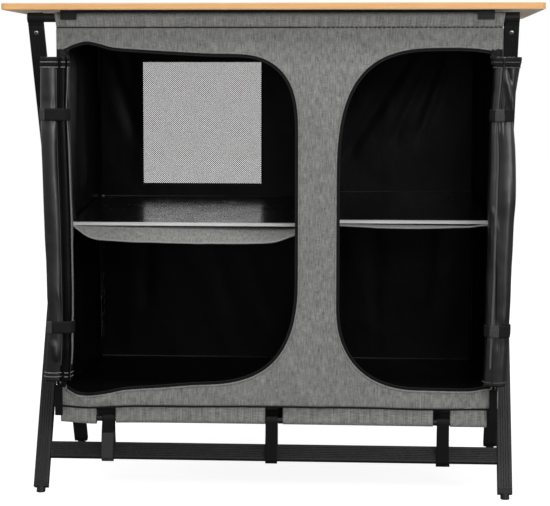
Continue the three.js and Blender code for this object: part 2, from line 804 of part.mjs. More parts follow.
function zipSlider(place) {
  const half = sliderWidth / 2;
  const low = sliderHeightPlace - sliderHeight / 2;
  const shoulder = low + sliderHeight * sliderShoulderShare;
  const body = new THREE.Shape();
  body.moveTo(place - half * sliderNoseShare, low);
  body.lineTo(place + half * sliderNoseShare, low);
  body.lineTo(place + half, shoulder);
  body.lineTo(place + half * sliderTailShare, low + sliderHeight);
  body.lineTo(place - half * sliderTailShare, low + sliderHeight);
  body.lineTo(place - half, shoulder);
  const plate = extrudeY(body, sliderFront, sliderBack);
  const ear = (x) => join(
    rodX(knuckleRadius, x, x + earThickness, pullPlace, sliderHeightPlace),
    block(
      x, x + earThickness, pullPlace, sliderFront + clearance,
      sliderHeightPlace - knuckleRadius, sliderHeightPlace + knuckleRadius));
  const reach = half * pullPinShare;
  const pin = rodX(pullPinDiameter / 2, place - reach, place + reach, pullPlace, sliderHeightPlace);
  return join(plate, ear(place - reach), ear(place + reach - earThickness), pin);
}

function pullTag(place) {
  const half = sliderWidth / 2 * pullPinShare - earThickness - clearance;
  const knuckle = rodX(knuckleRadius, place - half, place + half, pullPlace, sliderHeightPlace);
  const neckLow = sliderHeightPlace - 2 * knuckleRadius;
  const neck = block(
    place - half, place + half, pullPlace - tagThickness / 2, pullPlace + tagThickness / 2,
    neckLow, sliderHeightPlace);
  const tag = extrudeY(
    roundedRectangle(tagWidth, tagLength, tagThickness), pullPlace - tagThickness / 2,
    pullPlace + tagThickness / 2);
  tag.translate(place, 0, neckLow - tagLength / 2 + clearance);
  const hole = rodX(
    pullPinDiameter / 2 + clearance, place - half - overrun, place + half + overrun,
    pullPlace, sliderHeightPlace);
  return cut(join(knuckle, neck, tag), hole);
}

const doorways = [
  { word: 'left', side: -1, edge: clothLeftFront, rollInset: leftRollInset, sliderInset: leftSliderInset },
  { word: 'right', side: 1, edge: clothRightFront, rollInset: rightRollInset, sliderInset: rightSliderInset },
];
for (const { word, side, edge, rollInset, sliderInset } of doorways) {
  const rollPlace = edge - side * rollInset;
  const sliderPlace = edge - side * sliderInset;
  addPiece(model, `${word}_rolled_door`, rolledDoor(rollPlace, side), blackLining);
  addPiece(model, `${word}_door_upper_tie`, doorTie(rollPlace, upward(upperTieShare)), blackWebbing);
  addPiece(model, `${word}_door_lower_tie`, doorTie(rollPlace, upward(lowerTieShare)), blackWebbing);
  addPiece(model, `${word}_zip_slider`, zipSlider(sliderPlace), steel);
  addPiece(model, `${word}_pull_tag`, pullTag(sliderPlace), blackWebbing);
}

// Hem sleeve: flaps that hold a rod along the bottom of a panel, with gaps for the straps
const hemLeft = clothLeftFront;
const hemRight = clothRightFront - hemRightInset;
const rodRadius = rodDiameter / 2;
const rodPlace = backFace - fabricThickness - clearance - rodRadius;
const rodHeight = hemHeight - rodDrop;
const strapPlaces = [leftStrapShare, middleStrapShare, rightStrapShare].map(across);

function hemSleeve(side) {
  const circles = [
    { a: side * rodPlace, b: rodHeight, radius: rodRadius },
    {
      a: side * (backFace - fabricThickness - clearance),
      b: hemHeight - fabricThickness - 2 * clearance, radius: 0,
    },
  ];
  const half = strapWidth / 2 + strapGap;
  const starts = [hemLeft, ...strapPlaces.map((x) => x + half)];
  const ends = [...strapPlaces.map((x) => x - half), hemRight];
  const flaps = starts.map((x, i) => extrudeX(loopShape(circles, clearance, fabricThickness), x, ends[i]));
  const outer = [side * backFace, side * (backFace - fabricThickness)].sort((p, q) => p - q);
  const band = block(
    hemLeft, hemRight, outer[0], outer[1], hemHeight - clearance - strapGap, hemHeight - clearance);
  return { solid: join(band, ...flaps), outer };
}

// Places of the lower rail's corners, as circles that a strap goes round
const railTurn = new THREE.Vector2(Math.cos(lean), Math.sin(lean));

function lowerRailCircles(side) {
  const across = legThickness / 2 - legCornerRadius;
  const along = lowerRailWidth / 2 - legCornerRadius;
  return [[1, 1], [1, -1], [-1, 1], [-1, -1]].map(([p, q]) => {
    const a = legOffset + p * across;
    const b = lowerRailPlace + q * along;
    return {
      a: side * (a * railTurn.x - b * railTurn.y),
      b: pivotHeight + a * railTurn.y + b * railTurn.x,
      radius: legCornerRadius,
    };
  });
}

function strap(side, place) {
  const circles = [{ a: side * rodPlace, b: rodHeight, radius: rodRadius }, ...lowerRailCircles(side)];
  return extrudeX(
    loopShape(circles, clearance, strapThickness), place - strapWidth / 2, place + strapWidth / 2);
}

const frontHem = hemSleeve(-1);
const rearHem = hemSleeve(1);
const rearStraps = strapPlaces.flatMap((place) => [
  strap(1, place),
  block(
    place - strapWidth / 2, place + strapWidth / 2, rearHem.outer[0], rearHem.outer[1],
    rodHeight, hemHeight - clearance - strapGap / 2),
]);
const hemRod = (side) => rodX(
  rodRadius, hemLeft + overrun, hemRight - overrun, side * rodPlace, rodHeight);
addPiece(model, 'front_hem_sleeve', frontHem.solid, greyCloth);
addPiece(model, 'rear_hem_sleeve', join(rearHem.solid, ...rearStraps), greyCloth);
addPiece(model, 'front_hem_rod', hemRod(-1), blackAluminium);
addPiece(model, 'rear_hem_rod', hemRod(1), blackAluminium);
for (const [i, word] of ['left', 'middle', 'right'].entries()) {
  addPiece(model, `${word}_hem_strap`, strap(-1, strapPlaces[i]), blackWebbing);
}

// The origin is under the middle of the whole, from the rolled doors to the worktop's back edge
const wholeFront = rollDepth - rollRadius - clearance - tieThickness;
const wholeBack = worktopDepth / 2;
model.position.y = -(wholeFront + wholeBack) / 2;

export default model;
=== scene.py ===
# %% [markdown]
# A folding camping cupboard, dressed in Blender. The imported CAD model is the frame: its metal,
# moulded and wooden parts stay and get better finishes, and each soft part is replaced by cloth.
# Everything is in metres, with +X to the right, +Y to the back and +Z up.

# %% Load the frame
import json
import math

import bmesh
import bpy
from mathutils import Matrix, Vector
from mathutils.noise import noise


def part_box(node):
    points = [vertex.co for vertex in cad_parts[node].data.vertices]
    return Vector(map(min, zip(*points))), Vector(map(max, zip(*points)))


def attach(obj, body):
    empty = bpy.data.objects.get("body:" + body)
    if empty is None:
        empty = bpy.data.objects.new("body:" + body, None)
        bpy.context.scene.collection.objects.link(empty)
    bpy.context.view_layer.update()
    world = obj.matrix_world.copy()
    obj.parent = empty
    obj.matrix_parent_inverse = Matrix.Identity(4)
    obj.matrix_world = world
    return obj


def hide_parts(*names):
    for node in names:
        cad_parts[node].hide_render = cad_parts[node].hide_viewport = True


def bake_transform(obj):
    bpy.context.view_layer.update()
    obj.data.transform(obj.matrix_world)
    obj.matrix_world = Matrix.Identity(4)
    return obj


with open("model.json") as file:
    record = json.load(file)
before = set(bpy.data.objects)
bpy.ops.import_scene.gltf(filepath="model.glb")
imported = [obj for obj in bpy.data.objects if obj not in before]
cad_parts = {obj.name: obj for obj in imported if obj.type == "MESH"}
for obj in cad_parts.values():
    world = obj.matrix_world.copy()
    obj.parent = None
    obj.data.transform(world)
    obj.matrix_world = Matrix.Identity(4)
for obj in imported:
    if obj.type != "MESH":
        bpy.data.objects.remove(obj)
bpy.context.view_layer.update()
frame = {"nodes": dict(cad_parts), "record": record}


# %% [markdown]
# The photograph was taken with a long lens from a little below the worktop's height, right of the
# middle. A camera can be aimed at a target, but here its place and three small turns were fitted
# to edges of the cupboard, so it is built from those values.

# %% Camera
PHOTO_WIDTH = 550
FOCAL_PIXELS = 1701.3
SENSOR_MM = 36.0
CAMERA_PLACE = Vector((0.1783, -2.9966, 0.6975))
CAMERA_YAW = -0.0611
CAMERA_PITCH = 0.1013
CAMERA_ROLL = -0.0013


def photo_camera():
    data = bpy.data.cameras.new("photo_camera")
    data.sensor_width = SENSOR_MM
    data.lens = FOCAL_PIXELS / PHOTO_WIDTH * SENSOR_MM
    data.clip_end = 100
    camera = bpy.data.objects.new("photo_camera", data)
    bpy.context.collection.objects.link(camera)
    level = Matrix.Rotation(math.pi / 2 - CAMERA_PITCH, 4, "X")
    turn = Matrix.Rotation(-CAMERA_YAW, 4, "Z")
    roll = Matrix.Rotation(-CAMERA_ROLL, 4, "Z")
    camera.matrix_world = Matrix.Translation(CAMERA_PLACE) @ turn @ level @ roll
    bpy.context.scene.camera = camera
    print("lens", round(data.lens, 1), "mm")


photo_camera()

# %% [markdown]
# Cloth on the real cupboard hangs from its rails and rods. So the cloth's places are read from the
# CAD boxes of those parts, and a cloth piece follows if a part's size changes.


# %% Shared places
def low(node):
    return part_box(node)[0]


def high(node):
    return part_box(node)[1]


def middle(node):
    return (low(node) + high(node)) / 2


CLOTH = 0.0012
FRONT = low("front_panel")[1]
CLOTH_LEFT, CLOTH_RIGHT = low("front_panel")[0], high("front_panel")[0]
BACK_LEFT, BACK_RIGHT = low("back_panel")[0], high("back_panel")[0]
HEM = low("front_panel")[2]
FLOOR = high("floor_panel")[2]
FRONT_RAIL = middle("rear_frame_top_rail")
REAR_RAIL = middle("front_frame_top_rail")
RAIL_RADIUS = high("rear_frame_top_rail")[2] - FRONT_RAIL[2]
BACK = REAR_RAIL[1] + RAIL_RADIUS + 0.0015
SEAM = FRONT_RAIL[2] - 0.016
FRONT_ROD = middle("front_hem_rod")
REAR_ROD = middle("rear_hem_rod")
ROD_RADIUS = high("front_hem_rod")[2] - FRONT_ROD[2]
print("front", FRONT, "back", BACK, "seam", SEAM, "floor", FLOOR)

# %% [markdown]
# Curved lines in cloth are given by a few measured points. Straight lines between them would look
# kinked, so a value between two points is read from a smooth cubic through them.


# %% Smooth lines and noise
def smooth_step(t):
    t = min(1.0, max(0.0, t))
    return t * t * (3 - 2 * t)


def mix(a, b, t):
    return a + (b - a) * t


def through(points, x):
    """The value at x of a smooth line through (x, value) points, level beyond its ends."""
    if x <= points[0][0]:
        return points[0][1]
    if x >= points[-1][0]:
        return points[-1][1]
    i = max(k for k in range(len(points) - 1) if points[k][0] <= x)
    (x0, a), (x1, b) = points[i], points[i + 1]
    before = points[max(0, i - 1)]
    after = points[min(len(points) - 1, i + 2)]
    span = x1 - x0
    rise_a = (b - before[1]) / (x1 - before[0]) * span
    rise_b = (after[1] - a) / (after[0] - x0) * span
    t = (x - x0) / span
    bend = (2 * t**3 - 3 * t**2 + 1) * a + (t**3 - 2 * t**2 + t) * rise_a
    return bend + (3 * t**2 - 2 * t**3) * b + (t**3 - t**2) * rise_b


def soft_noise(*place, seed=0.0):
    a, b, c = (*place, 0.0, 0.0)[:3]
    return noise(Vector((a + seed, b + 1.7 * seed, c - seed)))


def run_length(points):
    return sum(math.dist(a, b) for a, b in zip(points, points[1:]))


def between(a, b, t):
    """The point at share t of the way from a to b."""
    return tuple(mix(p, q, t) for p, q in zip(a, b))


def even_spacing(points, step):
    """The same open line with its straight runs filled at about an even step."""
    result = [points[0]]
    for a, b in zip(points, points[1:]):
        count = max(1, round(math.dist(a, b) / step))
        result += [between(a, b, i / count) for i in range(1, count + 1)]
    return result


# %% [markdown]
# A sheet of cloth could be simulated, but the photograph fixes its edges and folds to a millimetre.
# So each sheet, sleeve and band is one create_grid whose points are moved to their place. Its UV
# map is in metres, which gives a weave the same scale on every piece.


# %% Shaped grids
def finish_piece(name, bm, made, body=None):
    mesh = bpy.data.meshes.new(name)
    bm.to_mesh(mesh)
    bm.free()
    for polygon in mesh.polygons:
        polygon.use_smooth = True
    piece = bpy.data.objects.new(name, mesh)
    bpy.context.collection.objects.link(piece)
    for one in made if isinstance(made, list) else [made]:
        mesh.materials.append(one)
    if body:
        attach(piece, body)
    print(name, len(mesh.polygons), "faces")
    return piece


def shaped_grid(columns, rows, size, place):
    """A grid of columns x rows faces. place(u, v) gives each point, with u and v from 0 to 1."""
    bm = bmesh.new()
    bmesh.ops.create_grid(bm, x_segments=columns, y_segments=rows, size=0.5)
    uv = bm.loops.layers.uv.new("UVMap")
    share = {vert: (vert.co.x + 0.5, vert.co.y + 0.5) for vert in bm.verts}
    for face in bm.faces:
        for loop in face.loops:
            u, v = share[loop.vert]
            loop[uv].uv = (u * size[0], v * size[1])
    for vert in bm.verts:
        vert.co = place(*share[vert])
    return bm


def set_uv(bm, rule):
    """Lays the UV map by place: rule(point) gives a corner's u and v in metres."""
    layer = bm.loops.layers.uv.get("UVMap") or bm.loops.layers.uv.new("UVMap")
    for face in bm.faces:
        for loop in face.loops:
            loop[layer].uv = rule(loop.vert.co)


def thicken(piece, thickness, offset=0.0, second=None):
    """Solidify, with another material on the side that the faces turn away from."""
    modifier = piece.modifiers.new("thickness", "SOLIDIFY")
    modifier.thickness = thickness
    modifier.offset = offset
    if second is not None:
        count = len(piece.data.materials)
        for _ in range(count):
            piece.data.materials.append(second)
        modifier.material_offset = count
        modifier.material_offset_rim = 0


def flat_area(piece):
    return sum(face.area for face in piece.data.polygons)


# %% [markdown]
# A seam, a zip coil or a piping is a thin round line. A curve with a round bevel follows any path,
# and it becomes a mesh before it is placed, so that the piece sits at the origin as the rest do.


# %% Cords and stitches
def cord_mesh(points, radius, closed=False):
    curve = bpy.data.curves.new("line", "CURVE")
    curve.dimensions = "3D"
    curve.bevel_depth = radius
    curve.bevel_resolution = 2
    curve.use_fill_caps = True
    spline = curve.splines.new("POLY")
    spline.points.add(len(points) - 1)
    for point, where in zip(spline.points, points):
        point.co = (*where, 1)
    spline.use_cyclic_u = closed
    holder = bpy.data.objects.new("line", curve)
    mesh = bpy.data.meshes.new_from_object(holder)
    bpy.data.objects.remove(holder)
    bm = bmesh.new()
    bm.from_mesh(mesh)
    bpy.data.meshes.remove(mesh)
    set_uv(bm, lambda p: (p.x + p.y, p.z))
    return bm


def stitch_mesh(points, pitch, length, thickness):
    """A row of thread dashes along a line: small blocks, one every pitch."""
    bm = bmesh.new()
    line = even_spacing([tuple(p) for p in points], pitch)
    for a, b in zip(line, line[1:]):
        start, end = Vector(a), Vector(b)
        along = end - start
        if along.length < pitch / 2:
            continue
        made = bmesh.ops.create_cube(bm, size=1.0)["verts"]
        bmesh.ops.scale(bm, vec=(length, thickness, thickness), verts=made)
        turn = Vector((1, 0, 0)).rotation_difference(along.normalized()).to_matrix().to_4x4()
        bmesh.ops.transform(bm, matrix=Matrix.Translation((start + end) / 2) @ turn, verts=made)
    set_uv(bm, lambda p: (p.x + p.y, p.z))
    return bm


# %% [markdown]
# A crease is a soft ridge along a line in the cloth. It is highest at its middle and fades to both
# ends, as the pull from a seam does. A row gives its two ends, its width and its height.


# %% Creases
def crease(x, z, line):
    x0, z0, x1, z1, width, height = line
    along = Vector((x1 - x0, z1 - z0))
    length = along.length
    along.normalize()
    to = Vector((x - x0, z - z0))
    t = to.dot(along) / length
    if t < -0.3 or t > 1.3:
        return 0.0
    side = to.x * along.y - to.y * along.x
    fade = smooth_step((t + 0.3) / 0.5) * smooth_step((1.3 - t) / 0.5)
    return height * fade * math.exp(-((side / width) ** 2))


def creases(x, z, lines):
    return sum(crease(x, z, line) for line in lines)


# %% [markdown]
# A finish is a tree of shader nodes. Typing each link is long, so a small helper adds a node, sets
# its inputs and links those that are given as a socket of another node.


# %% Shader tools
def grey(value):
    return (value, value, value, 1.0)


class Tree:
    """Adds and joins shader nodes with few words."""

    def __init__(self, tree):
        self.nodes = tree.nodes
        self.links = tree.links

    def add(self, kind, inputs=None, **settings):
        node = self.nodes.new("ShaderNode" + kind)
        for key, value in settings.items():
            setattr(node, key, value)
        self.fill(node.inputs, inputs or {})
        return node

    def fill(self, sockets, values):
        for key, value in values.items():
            if isinstance(value, bpy.types.NodeSocket):
                self.links.new(value, sockets[key])
            else:
                sockets[key].default_value = value

    def math(self, operation, a, b=0.0):
        return self.add("Math", {0: a, 1: b}, operation=operation).outputs[0]

    def noise(self, vector, scale, detail=2.0, roughness=0.5):
        inputs = {"Vector": vector, "Scale": scale, "Detail": detail, "Roughness": roughness}
        return self.add("TexNoise", inputs).outputs["Fac"]

    def stretch(self, vector, scale, rotation=(0, 0, 0)):
        inputs = {"Vector": vector, "Scale": scale, "Rotation": rotation}
        return self.add("Mapping", inputs).outputs[0]

    def spread(self, value, from_low, from_high, to_low=0.0, to_high=1.0):
        inputs = {0: value, 1: from_low, 2: from_high, 3: to_low, 4: to_high}
        return self.add("MapRange", inputs).outputs[0]

    def blend(self, share, a, b):
        node = self.add("Mix", data_type="RGBA")
        self.fill(node.inputs, {0: share, 6: a, 7: b})
        return node.outputs[2]

    def place(self, group, inputs):
        node = self.nodes.new("ShaderNodeGroup")
        node.node_tree = group
        self.fill(node.inputs, inputs)
        return node.outputs

    def wave(self, value, rate):
        """The size of a sine along a value: 0 wherever value times rate is a multiple of pi."""
        return self.math("ABSOLUTE", self.math("SINE", self.math("MULTIPLY", value, rate)))


# %% [markdown]
# An effect that several finishes share is built once, as a group with named inputs and outputs. A
# group puts out values only, and the shader itself stays in the finish.


# %% Shader groups
def new_group(name, inputs, outputs):
    """A shader group, with its tools, its given sockets and its output node."""
    group = bpy.data.node_groups.new(name, "ShaderNodeTree")
    for label, kind in inputs:
        group.interface.new_socket(name=label, in_out="INPUT", socket_type=kind)
    for label in outputs:
        group.interface.new_socket(name=label, in_out="OUTPUT", socket_type="NodeSocketFloat")
    t = Tree(group)
    given = group.nodes.new("NodeGroupInput").outputs
    out = group.nodes.new("NodeGroupOutput").inputs
    return group, t, given, out


# %% [markdown]
# The cupboard's cloth is a melange: light and dark yarns that never lie the same twice. A printed
# speckle would look flat, so the group mixes noise stretched along both thread directions with
# longer upright slubs, and puts out the weave's height as well.


# %% Heather yarn group
def heather_group():
    group, t, given, out = new_group(
        "heather_yarn",
        [("Vector", "NodeSocketVector"), ("Thread", "NodeSocketFloat")],
        ["Light", "Height"],
    )
    often = t.math("DIVIDE", 1.0, given["Thread"])
    weft = t.noise(t.stretch(given["Vector"], (0.08, 1, 1)), often, 1.0)
    warp = t.noise(t.stretch(given["Vector"], (1, 0.08, 1)), often, 1.0)
    slub = t.noise(t.stretch(given["Vector"], (1, 0.13, 1)), 430.0, 3.0, 0.6)
    cloud = t.noise(given["Vector"], 75.0, 3.0)
    fine = t.math("MULTIPLY", t.math("ADD", weft, warp), 0.3)
    coarse = t.math("ADD", t.math("MULTIPLY", slub, 0.5), t.math("MULTIPLY", cloud, 0.2))
    t.links.new(t.spread(t.math("ADD", fine, coarse), 0.45, 0.86), out["Light"])
    axes = t.add("SeparateXYZ", {0: given["Vector"]}).outputs
    turn = t.math("MULTIPLY", often, math.pi)
    threads = t.math("ADD", t.wave(axes["X"], turn), t.wave(axes["Y"], turn))
    t.links.new(t.math("MULTIPLY", threads, 0.5), out["Height"])
    return group


HEATHER = heather_group()

# %% [markdown]
# Used gear is never even: hands leave duller clouds, grit leaves hairline scratches, and corners
# rub bright. Two groups make these marks once, and each finish sets their size and strength.


# %% Handling and wear groups
def handling_group():
    group, t, given, out = new_group(
        "handling_marks",
        [("Vector", "NodeSocketVector"), ("Size", "NodeSocketFloat")],
        ["Cloud", "Scratch"],
    )
    often = t.math("DIVIDE", 1.0, given["Size"])
    cloud = t.noise(given["Vector"], often, 5.0, 0.6)
    fine = t.noise(t.stretch(given["Vector"], (1, 1, 0.12), (0.3, 0.5, 0.2)), 900.0, 2.0)
    t.links.new(t.spread(cloud, 0.3, 0.7), out["Cloud"])
    t.links.new(t.spread(fine, 0.66, 0.74), out["Scratch"])
    return group


def wear_group():
    group, t, given, out = new_group(
        "edge_wear", [("Vector", "NodeSocketVector"), ("Edge", "NodeSocketFloat")], ["Worn"]
    )
    broken = t.noise(given["Vector"], 220.0, 4.0, 0.7)
    t.links.new(t.math("MULTIPLY", given["Edge"], t.spread(broken, 0.45, 0.62)), out["Worn"])
    return group


HANDLING = handling_group()
EDGE_WEAR = wear_group()

# %% [markdown]
# Hard parts carry their patterns on Object coordinates, because each part sits at the origin, and
# cloth carries them on its UV map, so that the weave bends with it. The edge mask compares the
# true normal with a rounded one, which differ only at a corner.


# %% Material helpers
def material(name):
    made = bpy.data.materials.new(name)
    made.use_nodes = True
    return made, Tree(made.node_tree), made.node_tree.nodes["Principled BSDF"].inputs


def object_place(t):
    return t.add("TexCoord").outputs["Object"]


def uv_place(t):
    return t.add("UVMap", uv_map="UVMap").outputs["UV"]


def bump(t, shader, height, strength, distance):
    inputs = {"Height": height, "Strength": strength, "Distance": distance}
    t.links.new(t.add("Bump", inputs).outputs[0], shader["Normal"])


def edge_mask(t, radius, gain):
    rounded = t.add("Bevel", {"Radius": radius}, samples=4).outputs[0]
    normal = t.add("NewGeometry").outputs["Normal"]
    dot = t.add("VectorMath", {0: rounded, 1: normal}, operation="DOT_PRODUCT").outputs["Value"]
    return t.math("MULTIPLY", t.math("SUBTRACT", 1.0, dot), gain)


def set_gloss(shader, specular, roughness=None, metallic=0.0, sheen=0.0):
    shader["Specular IOR Level"].default_value = specular
    shader["Metallic"].default_value = metallic
    shader["Sheen Weight"].default_value = sheen
    if roughness is not None:
        shader["Roughness"].default_value = roughness


def brighter(colour, by):
    return tuple(by * part for part in colour[:3]) + (1.0,)


def uneven_gloss(t, shader, mark, amount, roughness):
    """A roughness that rises by an amount where the handling marks are."""
    rough = t.math("ADD", t.math("MULTIPLY", mark, amount), roughness)
    t.links.new(rough, shader["Roughness"])


# %% [markdown]
# The outer cloth is matt and a little hairy, so it takes a low specular and some sheen. The lining
# is the same cloth with a shiny coat: almost black, with a soft streak wherever it folds.


# %% Cloth finishes
def heather_cloth(name, dark, light, thread=0.0009):
    made, t, shader = material(name)
    yarn = t.place(HEATHER, {"Vector": uv_place(t), "Thread": thread})
    marks = t.place(HANDLING, {"Vector": object_place(t), "Size": 0.09})
    body = t.blend(yarn["Light"], dark, light)
    worn = t.blend(t.math("MULTIPLY", marks["Cloud"], 0.14), body, dark)
    t.links.new(worn, shader["Base Color"])
    set_gloss(shader, 0.2, roughness=0.9, sheen=0.08)
    bump(t, shader, yarn["Height"], 0.45, 0.0003)
    return made


def coated_film(name, colour, specular, roughness, wrinkle, crumple=26.0):
    made, t, shader = material(name)
    place = object_place(t)
    marks = t.place(HANDLING, {"Vector": place, "Size": 0.04})
    t.links.new(t.blend(marks["Cloud"], colour, brighter(colour, 1.7)), shader["Base Color"])
    uneven_gloss(t, shader, marks["Cloud"], 0.12, roughness)
    set_gloss(shader, specular)
    soft = t.noise(t.stretch(place, (1, 1, 0.55)), crumple, 4.0, 0.55)
    grain = t.noise(place, 1400.0, 2.0)
    bump(t, shader, t.math("ADD", soft, t.math("MULTIPLY", grain, 0.02)), wrinkle, 0.004)
    return made


def woven_band(name, dark, light, rib=0.0011):
    made, t, shader = material(name)
    place = uv_place(t)
    axes = t.add("SeparateXYZ", {0: place}).outputs
    rate = math.pi / rib
    ribs = t.math("ADD", t.wave(axes["X"], rate), t.wave(axes["Y"], rate))
    height = t.math("MULTIPLY", ribs, 0.5)
    mask = t.math("MULTIPLY", height, t.noise(place, 1500.0, 3.0))
    t.links.new(t.blend(t.spread(mask, 0.1, 0.6), dark, light), shader["Base Color"])
    set_gloss(shader, 0.15, roughness=0.75)
    bump(t, shader, height, 0.6, 0.0004)
    return made


CLOTH_DARK, CLOTH_LIGHT = (0.082, 0.083, 0.079, 1), (0.365, 0.365, 0.350, 1)
GREY_CLOTH = heather_cloth("grey_cloth", CLOTH_DARK, CLOTH_LIGHT)
LINING = coated_film("black_lining", (0.0014, 0.0014, 0.0016, 1), 0.15, 0.30, 0.25)
DOOR_FILM = coated_film("door_film", (0.0032, 0.0033, 0.0040, 1), 0.85, 0.30, 0.04, 16.0)
WEBBING = woven_band("black_webbing", grey(0.005), grey(0.015))
# Lighter webbing, painted light: it stands for the lit parts of the black ties and of the left strap.
LIT_WEBBING_PAINT = woven_band("painted_light_webbing", grey(0.030), grey(0.085))
TAPE = woven_band("zip_tape", grey(0.006), grey(0.018), 0.0007)
PIPING = woven_band("piping", grey(0.10), grey(0.34), 0.0009)
HEM_CORD = woven_band("hem_cord", grey(0.20), grey(0.44), 0.0009)
DULL_PIPING = woven_band("dull_piping", grey(0.05), grey(0.14), 0.0009)
THREAD = woven_band("seam_thread", grey(0.02), grey(0.05), 0.0006)

# %% [markdown]
# The legs and rails are black anodised extrusions with drawing lines along them, the corners and
# feet are moulded with a fine grain, and pins and channels are bright. The lines are noise that is
# stretched along the part, which is how a drawn or brushed surface looks close up.


# %% Hard finishes
def drawn_metal(name, colour, lines_along, roughness, specular, metallic, wear=True):
    made, t, shader = material(name)
    place = object_place(t)
    lines = t.noise(t.stretch(place, lines_along), 1800.0, 2.0)
    marks = t.place(HANDLING, {"Vector": place, "Size": 0.05})
    base = t.blend(lines, colour, brighter(colour, 1.35))
    if wear:
        worn = t.place(EDGE_WEAR, {"Vector": place, "Edge": edge_mask(t, 0.0008, 3.0)})["Worn"]
        base = t.blend(worn, base, grey(0.12))
    t.links.new(base, shader["Base Color"])
    uneven_gloss(t, shader, marks["Cloud"], 0.14, roughness)
    set_gloss(shader, specular, metallic=metallic)
    bump(t, shader, lines, 0.12, 0.0003)
    return made


def moulded(name, colour, roughness):
    made, t, shader = material(name)
    place = object_place(t)
    marks = t.place(HANDLING, {"Vector": place, "Size": 0.03})
    worn = t.place(EDGE_WEAR, {"Vector": place, "Edge": edge_mask(t, 0.0006, 2.0)})["Worn"]
    base = t.blend(marks["Cloud"], colour, brighter(colour, 1.6))
    t.links.new(t.blend(worn, base, grey(0.07)), shader["Base Color"])
    uneven_gloss(t, shader, marks["Scratch"], 0.1, roughness)
    set_gloss(shader, 0.25)
    bump(t, shader, t.noise(place, 1600.0, 3.0), 0.25, 0.0003)
    return made


ALONG_X, ALONG_LEG = (0.02, 1, 1), (1, 0.3, 0.02)
RAIL_METAL = drawn_metal("black_aluminium_rails", grey(0.0135), ALONG_X, 0.38, 0.3, 0.2)
LEG_METAL = drawn_metal("black_aluminium_legs", grey(0.0165), ALONG_LEG, 0.36, 0.3, 0.2)
PLASTIC = moulded("black_plastic", grey(0.0075), 0.5)
STEEL = drawn_metal("steel", grey(0.55), ALONG_X, 0.22, 0.5, 1.0, wear=False)
EDGE_METAL = drawn_metal("bright_edge", grey(0.80), ALONG_X, 0.42, 0.5, 0.35, wear=False)

# %% [markdown]
# The worktop is a thin wood-look board. One tree makes all its faces: long fibres and pores on the
# top and the sides, and below them a plain cream underside, chosen by height in the board.


# %% Worktop and shelf finishes
def laminate(name):
    made, t, shader = material(name)
    place = object_place(t)
    axes = t.add("SeparateXYZ", {0: place}).outputs
    plank = t.noise(t.stretch(place, (0.5, 9, 9)), 1.6, 1.0)
    fibre = t.noise(t.stretch(place, (1, 26, 26)), 14.0, 6.0, 0.62)
    pores = t.noise(t.stretch(place, (1, 40, 40)), 60.0, 3.0, 0.7)
    dark, light = (0.73, 0.385, 0.150, 1), (0.87, 0.51, 0.225, 1)
    wood = t.blend(t.spread(fibre, 0.3, 0.72), dark, light)
    wood = t.blend(t.spread(plank, 0.35, 0.65, 0.0, 0.3), wood, (0.68, 0.35, 0.13, 1))
    wood = t.blend(t.spread(pores, 0.62, 0.72, 0.0, 0.3), wood, (0.40, 0.20, 0.08, 1))
    under = t.math("LESS_THAN", axes["Z"], low("worktop")[2] + 0.0012)
    t.links.new(t.blend(under, wood, (0.90, 0.74, 0.59, 1)), shader["Base Color"])
    marks = t.place(HANDLING, {"Vector": place, "Size": 0.08})
    uneven_gloss(t, shader, marks["Cloud"], 0.12, 0.36)
    set_gloss(shader, 0.35)
    bump(t, shader, pores, 0.1, 0.0002)
    return made


WOOD = laminate("wood_laminate")
SHELF = coated_film("shelf_board", (0.0050, 0.0051, 0.0056, 1), 1.0, 0.17, 0.0, 60.0)

# %% [markdown]
# Real window mesh has hundreds of thousands of threads. Modelling them would be wasted, so the net
# is a flat sheet whose alpha is a lattice turned by 45 degrees: dark threads and clear holes.

# %% Net finish
NET_PERIOD = 0.0026
NET_OPEN = 0.50


def mesh_net(name):
    made, t, shader = material(name)
    place = uv_place(t)
    axes = t.add("SeparateXYZ", {0: t.stretch(place, (1, 1, 1), (0, 0, math.pi / 4))}).outputs
    rate = math.pi / NET_PERIOD
    lattice = t.math("MULTIPLY", t.wave(axes["X"], rate), t.wave(axes["Y"], rate))
    cloud = t.noise(place, 22.0, 4.0)
    t.links.new(t.blend(t.spread(cloud, 0.3, 0.7), grey(0.05), grey(0.09)), shader["Base Color"])
    set_gloss(shader, 0.3, roughness=0.6)
    t.links.new(t.math("LESS_THAN", lattice, NET_OPEN), shader["Alpha"])
    bump(t, shader, lattice, 0.4, 0.0003)
    return made


NET = mesh_net("window_net")
print("materials", len(bpy.data.materials))

# %% [markdown]
# The hard CAD parts keep their shape, so they only change their material. Their names say what
# they are made of, and a short list of endings is enough to sort them.

# %% Finishes for the CAD parts
FINISHES = [
    ("_tube", LEG_METAL),
    ("_rail", RAIL_METAL),
    ("_rod", RAIL_METAL),
    ("_corner", PLASTIC),
    ("_cross_joint", PLASTIC),
    ("_foot", PLASTIC),
    ("_hook_bar", PLASTIC),
    ("_pull_tag", WEBBING),
    ("_pivot_bolt", STEEL),
    ("_zip_slider", STEEL),
    ("_shelf_edge", EDGE_METAL),
    ("_shelf", SHELF),
    ("worktop", WOOD),
]
finished = 0
for node, part in frame["nodes"].items():
    made = next((made for ending, made in FINISHES if node.endswith(ending)), None)
    if made:
        part.data.materials.clear()
        part.data.materials.append(made)
        finished += 1
print("finished", finished, "of", len(frame["nodes"]), "CAD parts")

# %% [markdown]
# Each doorway is square at its outer side, where the door is sewn on, and swept wide toward the
# middle. A corner is a quarter of a superellipse. Open cloth also sags and lifts, so a few
# measured deviations bend the top and the bottom edge.


# %% Doorway outlines
OPENING_TOP = SEAM - 0.035
OPENING_BOTTOM = HEM + 0.031
OPENING_BORDER = 0.010


